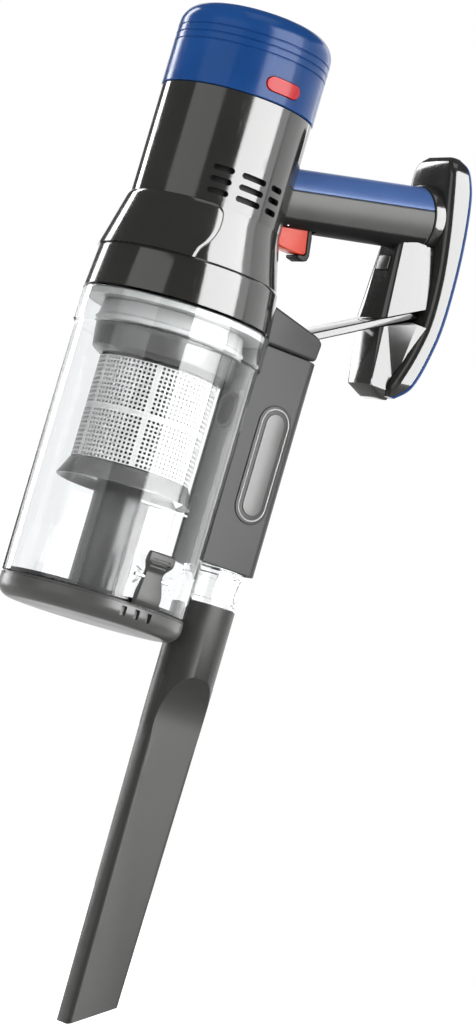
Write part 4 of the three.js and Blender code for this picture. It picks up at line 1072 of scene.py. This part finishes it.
def perforation_tree():
    """Geometry Nodes: one drilled cell repeated on a grid, solid where the screen has ribs, wrapped to a tube."""
    tree, given, result = group_tree(
        "perforated screen", [("Cell", "Geometry", None), ("Radius", "Float", 0.034), ("Columns", "Int", 84),
                              ("Rows", "Int", 23), ("Pitch", "Float", 0.0026), ("Rib Every", "Int", 14),
                              ("Solid Row", "Int", 11), ("Thick", "Float", 0.001), ("Finish", "Material", None)],
        [("Screen", "Geometry")], "GeometryNodeTree")

    def maker(operation, *values):
        return maths(tree, operation, *values)

    count = maker("MULTIPLY", given["Columns"], given["Rows"])
    line = node(tree, "GeometryNodeMeshLine", {"Count": count, "Offset": (0, 0, 0)}).outputs["Mesh"]
    index = node(tree, "GeometryNodeInputIndex").outputs[0]
    column = maker("MODULO", index, given["Columns"])
    row = maker("FLOOR", maker("DIVIDE", index, given["Columns"]))
    spot = node(tree, "ShaderNodeCombineXYZ", {"X": maker("MULTIPLY", column, given["Pitch"]),
                                               "Z": maker("MULTIPLY", row, given["Pitch"])})
    points = node(tree, "GeometryNodeSetPosition", {"Geometry": line, "Position": spot.outputs["Vector"]})
    is_rib = maker("LESS_THAN", maker("MODULO", column, given["Rib Every"]), 0.5)
    is_row = maker("COMPARE", row, given["Solid Row"], 0.5)
    solid = maker("MAXIMUM", is_rib, is_row)
    size = node(tree, "ShaderNodeCombineXYZ", {"X": given["Pitch"], "Y": given["Thick"], "Z": given["Pitch"]})
    plain = node(tree, "GeometryNodeMeshCube", {"Size": size.outputs["Vector"], "Vertices X": 3})
    both = tree.nodes.new("GeometryNodeJoinGeometry")
    for where, what in ((solid, plain.outputs["Mesh"]), (maker("SUBTRACT", 1.0, solid), given["Cell"])):
        copies = node(tree, "GeometryNodeInstanceOnPoints", {"Points": points.outputs["Geometry"],
                                                             "Selection": where, "Instance": what})
        tree.links.new(copies.outputs["Instances"], both.inputs[0])
    real = node(tree, "GeometryNodeRealizeInstances", {"Geometry": both.outputs[0]}).outputs[0]
    position = node(tree, "GeometryNodeInputPosition").outputs[0]
    place = node(tree, "ShaderNodeSeparateXYZ", {"Vector": position}).outputs
    angle = maker("DIVIDE", place["X"], given["Radius"])
    reach_out = maker("ADD", given["Radius"], place["Y"])
    wrapped = node(tree, "ShaderNodeCombineXYZ", {"X": maker("MULTIPLY", reach_out, maker("COSINE", angle)),
                                                  "Y": maker("MULTIPLY", reach_out, maker("SINE", angle)),
                                                  "Z": place["Z"]}).outputs["Vector"]
    tube = node(tree, "GeometryNodeSetPosition", {"Geometry": real, "Position": wrapped}).outputs["Geometry"]
    welded = node(tree, "GeometryNodeMergeByDistance", {"Geometry": tube, "Distance": 1e-6}).outputs["Geometry"]
    finished = node(tree, "GeometryNodeSetMaterial", {"Geometry": welded, "Material": given["Finish"]})
    tree.links.new(finished.outputs["Geometry"], result["Screen"])
    return tree


def drilled_cell(pitch, hole, thick, sides=12):
    """One square of sheet with a round hole, open at its four sides where the next one joins."""
    vertices, faces = [], []
    for y in (thick / 2, -thick / 2):
        for outline in ("square", "hole"):
            for i in range(sides):
                angle = 2 * math.pi * i / sides + math.pi / 4
                c, s = math.cos(angle), math.sin(angle)
                scale = pitch / 2 / max(abs(c), abs(s)) if outline == "square" else hole / 2
                vertices.append((c * scale, y, s * scale))
    front_square, front_hole, back_square, back_hole = (sides * k for k in range(4))
    for i in range(sides):
        j = (i + 1) % sides
        faces.append((front_square + i, front_square + j, front_hole + j, front_hole + i))
        faces.append((back_square + j, back_square + i, back_hole + i, back_hole + j))
        faces.append((front_hole + i, front_hole + j, back_hole + j, back_hole + i))
    mesh = bpy.data.meshes.new("cell")
    mesh.from_pydata(vertices, [], faces)
    return mesh


def make_screen():
    low, high = low_high("mesh_screen")
    thick, hole, columns = 0.001, 1.85 * MM, 84
    radius = high.x - thick / 2
    pitch = 2 * math.pi * radius / columns
    mesh = run_nodes(drilled_cell(pitch, hole, thick), perforation_tree(),
                     {"Radius": radius, "Columns": columns, "Rows": 23, "Pitch": pitch, "Rib Every": 14,
                      "Solid Row": 11, "Thick": thick, "Finish": SCREEN_METAL})
    moved(mesh, Matrix.Translation((0, 0, low.z + pitch / 2 + 0.3 * MM)))
    finish_mesh("mesh_screen_tube", mesh, SCREEN_METAL, "cup", ["mesh_screen"])


# ---------------------------------------------------------------- duct, neck and nozzle


def make_duct():
    half, corner = DUCT_HALF, 6 * MM
    low, high = DUCT_LOW.z, DUCT_HIGH.z
    rings = []
    for z, inset in ((low, 0.5 * MM), (low + 0.5 * MM, 0), (high - 0.5 * MM, 0), (high, 0.5 * MM)):
        rings.append(rounded_rectangle(46 * MM, DUCT_HIGH.x - inset, half - inset, corner, z, 12))
    outer = loft(rings)
    inner = loft([rounded_rectangle(40 * MM, DUCT_HIGH.x - 2.2 * MM, half - 2.2 * MM, corner - 2 * MM, z, 12)
                  for z in (low - 5 * MM, high - 2.2 * MM)])
    cup = rod(CUP_BAND_R + GAP, (0, 0, 0), (0, 0, 0.25), ROUND)
    badge = middle("badge_plate")

    def on_badge(a, b, depth):
        return badge.x + b, depth, badge.z + a

    seat = extrude(pill(73.6 * MM, 23.6 * MM), -0.03, -half + 0.7 * MM, on_badge)
    finish_mesh("duct_cover_shell", boolean(outer, inner, cup, seat), GRAPHITE_SATIN, "cup",
                ["duct_cover"])
    plate = extrude(pill(73 * MM, 23 * MM, 24), -half - 0.6 * MM, -half + 0.4 * MM, on_badge)
    finish_mesh("badge_back", bevelled(plate, 0.3 * MM, 3), GRAPHITE_SATIN, "cup",
                ["badge_plate"])
    finish_mesh("badge_rim", pill_ring(69 * MM, 19 * MM, 0.5 * MM, -half - 0.65 * MM, badge), LIGHT_RIM, "cup")
    inlay = extrude(pill(63 * MM, 13.4 * MM, 24), -half - 1.1 * MM, -half - 0.3 * MM, on_badge)
    finish_mesh("badge_inlay", bevelled(inlay, 0.5 * MM, 3), LID_GREY, "cup")


def pill_ring(length, width, wire, y, centre):
    """A round wire bent along a pill outline that faces -Y."""
    path = [Vector((centre.x + b, y, centre.z + a)) for a, b in pill(length, width, 24)]
    rings = []
    count = len(path)
    for i, point in enumerate(path):
        ahead = (path[(i + 1) % count] - path[i - 1]).normalized()
        side = ahead.cross(Vector((0, 1, 0))).normalized()
        rings.append([tuple(point + side * wire * c + Vector((0, 1, 0)) * wire * s) for c, s in circle(12)])
    return loft(rings, capped=False)


def make_intake():
    bore, wall, neck = 13 * MM, 1.8 * MM, 17.6 * MM
    low, high = low_high("intake_pipe")
    pipe = bore + wall
    neck_low = 30.3 * MM
    profile = rounded([(bore, low.z), (pipe, low.z), (pipe, neck_low), (neck, neck_low), (neck, neck_low + 3 * MM),
                       (neck - 0.6 * MM, neck_low + 3.4 * MM), (neck - 0.6 * MM, neck_low + 18 * MM),
                       (neck, neck_low + 18.4 * MM), (neck, DUCT_LOW.z - GAP), (pipe, DUCT_LOW.z - GAP),
                       (pipe, high.z - 2 * MM), (0, high.z)], 0.4 * MM, closed=False)
    outside = revolve([(0, low.z)] + profile[1:], 96)
    stub_radius, stub_hole = 11 * MM, 9.2 * MM
    stub = rod(stub_radius, (-24.2 * MM, 0, PORT_Z), (0, 0, PORT_Z))
    bore_tool = rod(bore, (0, 0, low.z - 0.01), (0, 0, high.z - 1.8 * MM), 96)
    stub_bore = rod(stub_hole, (-30 * MM, 0, PORT_Z), (0, 0, PORT_Z))
    pocket = box_mesh(-6.6 * MM, 10.2 * MM, -0.03, -13.9 * MM, 33 * MM, 49.6 * MM)
    solid = boolean(boolean(outside, stub, operation="UNION"), bore_tool, stub_bore, pocket)
    finish_mesh("intake_pipe_clear", moved(solid, Matrix.Translation((PIPE_X, 0, 0))), CLEAR_THICK, "cup",
                ["intake_pipe"])
    centre = middle("nozzle_release")
    plate = rounded_rectangle(centre.x - 7.9 * MM, centre.x + 7.9 * MM, 7.8 * MM, 4 * MM, 0, 8)
    face = along_y([(x, y + centre.z) for x, y, _ in plate], -18.7 * MM, -15.5 * MM)
    finish_mesh("nozzle_release_face", bevelled(face, 1 * MM, 4), CLEAR, "nozzle_release",
                ["nozzle_release"])


def make_nozzle():
    low, high = low_high("crevice_nozzle")
    bore, collar = 15.2 * MM, 18.4 * MM
    top, tip = high.z, low.z
    slope_top = top - 43 * MM
    slope_low = slope_top - 34 * MM
    wall, half = 1.9 * MM, 7.8 * MM
    left_tip = PIPE_X - collar + 3.4 * MM
    tip_slope = math.tan(math.radians(29))

    def body(inset, upper):
        ramp = [(half - inset + (collar - half) * (1 - t) ** 2, slope_top + (slope_low - slope_top) * t)
                for t in (i / 12 for i in range(13))]
        side = [(collar, upper)] + ramp + [(half - inset, slope_low - 46 * MM)]
        wedge_tool = along_x([(-y, z) for y, z in side] + side[::-1], 0.02, 0.14)
        drum = moved(revolve([(0, slope_low - 45 * MM), (collar - inset - 4 * MM, slope_low - 45 * MM),
                              (collar - inset, slope_low), (collar - inset, upper), (0, upper)], 128),
                     Matrix.Translation((PIPE_X, 0, 0)))
        scoop = boolean(drum, wedge_tool, operation="INTERSECT")
        left, right = PIPE_X - collar + 0.4 * MM + inset, PIPE_X + collar - 0.2 * MM - inset
        corner = 2.6 * MM - min(inset, 1.5 * MM)
        blade = loft([rounded_rectangle(left, right, half - inset, corner, slope_top - 4 * MM, 6),
                      rounded_rectangle(left + 3.2 * MM, right - 3.2 * MM, half - inset, corner, tip - 20 * MM, 6)])
        return boolean(scoop, blade, operation="UNION")

    slant = along_y([(0.02, tip - (left_tip - 0.02) * tip_slope), (0.14, tip + (0.14 - left_tip) * tip_slope),
                     (0.14, tip - 0.16), (0.02, tip - 0.16)], -0.03, 0.03)
    socket_tool = rod(bore, (PIPE_X, 0, top - 39.5 * MM), (PIPE_X, 0, top + 5 * MM), 128)
    shell = boolean(body(0, top), body(wall, top - 39 * MM), socket_tool, slant)
    finish_mesh("crevice_nozzle_shell", bevelled(shell, 0.35 * MM, 2, 35), NOZZLE_GREY, "nozzle",
                ["crevice_nozzle"], sharp=40)


# ---------------------------------------------------------------- screws


def screw_tree():
    """Geometry Nodes: a screw head placed at each marker point, realised with its finish."""
    tree, given, result = group_tree(
        "screw heads", [("Markers", "Geometry", None), ("Head", "Object", None), ("Size", "Float", 1.0),
                        ("Finish", "Material", None)], [("Screws", "Geometry")], "GeometryNodeTree")
    head = node(tree, "GeometryNodeObjectInfo", {"Object": given["Head"]})
    normal = node(tree, "GeometryNodeInputNamedAttribute", {"Name": "facing"}, data_type="FLOAT_VECTOR")
    turn = node(tree, "FunctionNodeAlignRotationToVector", {"Vector": normal.outputs["Attribute"]}, axis="Z")
    placed = node(tree, "GeometryNodeInstanceOnPoints",
                  {"Points": given["Markers"], "Instance": head.outputs["Geometry"],
                   "Rotation": turn.outputs["Rotation"], "Scale": given["Size"]})
    real = node(tree, "GeometryNodeRealizeInstances", {"Geometry": placed.outputs["Instances"]})
    finished = node(tree, "GeometryNodeSetMaterial", {"Geometry": real.outputs[0], "Material": given["Finish"]})
    tree.links.new(finished.outputs["Geometry"], result["Screws"])
    return tree


def screw_head_mesh():
    """A low domed head with a cross recess."""
    radius, tall, arm, slit = 2.3 * MM, 1.2 * MM, 1.4 * MM, 0.3 * MM
    profile = [(0, -1.5 * MM), (radius, -1.5 * MM), (radius, tall * 0.5), (radius * 0.6, tall), (0, tall)]
    dome = revolve(rounded(profile, 0.3 * MM, closed=False), 32)
    return boolean(dome, *(box_mesh(-x, x, -y, y, 0.3 * MM, 3 * MM) for x, y in ((arm, slit), (slit, arm))))


def make_screws():
    """Four screws in the duct's back."""
    spots = [(DUCT_HIGH.x, y * MM, z * MM) for y in (-9, 9) for z in (62, 180)]
    markers = bpy.data.meshes.new("markers")
    markers.from_pydata(spots, [], [])
    facing = markers.attributes.new("facing", "FLOAT_VECTOR", "POINT")
    for entry in facing.data:
        entry.vector = (1, 0, 0)
    head = linked("temporary", screw_head_mesh())
    mesh = run_nodes(markers, screw_tree(), {"Head": head, "Size": 1.0, "Finish": STEEL}, head)
    finish_mesh("duct_screws", mesh, STEEL, "cup")


# ---------------------------------------------------------------- everything that keeps its CAD shape


KEPT = {"pre_motor_filter": DARK_FELT, "cyclone_flange": FROSTED}


def finish_cad_nodes():
    for entry in frame["record"]["subparts"]:
        shown = bpy.data.objects.get(entry["node"])
        if shown and shown.type == "MESH":
            material = KEPT.get(entry["node"], SLOTS[entry["material_slot"]])
            for i in range(len(shown.data.materials)):
                shown.data.materials[i] = material
            if not shown.data.materials:
                shown.data.materials.append(material)


for make in (make_camera, make_lights, make_world, make_floor, finish_cad_nodes, make_cap, make_filter,
             make_housing, make_shroud, make_grip, make_trigger, make_battery, make_dock, make_strut,
             make_duct_head, make_cup, make_lid, make_latch, make_cyclone, make_screen, make_duct, make_intake,
             make_nozzle, make_screws):
    make()

bpy.context.scene.view_settings.view_transform = "Standard"
bpy.context.view_layer.update()
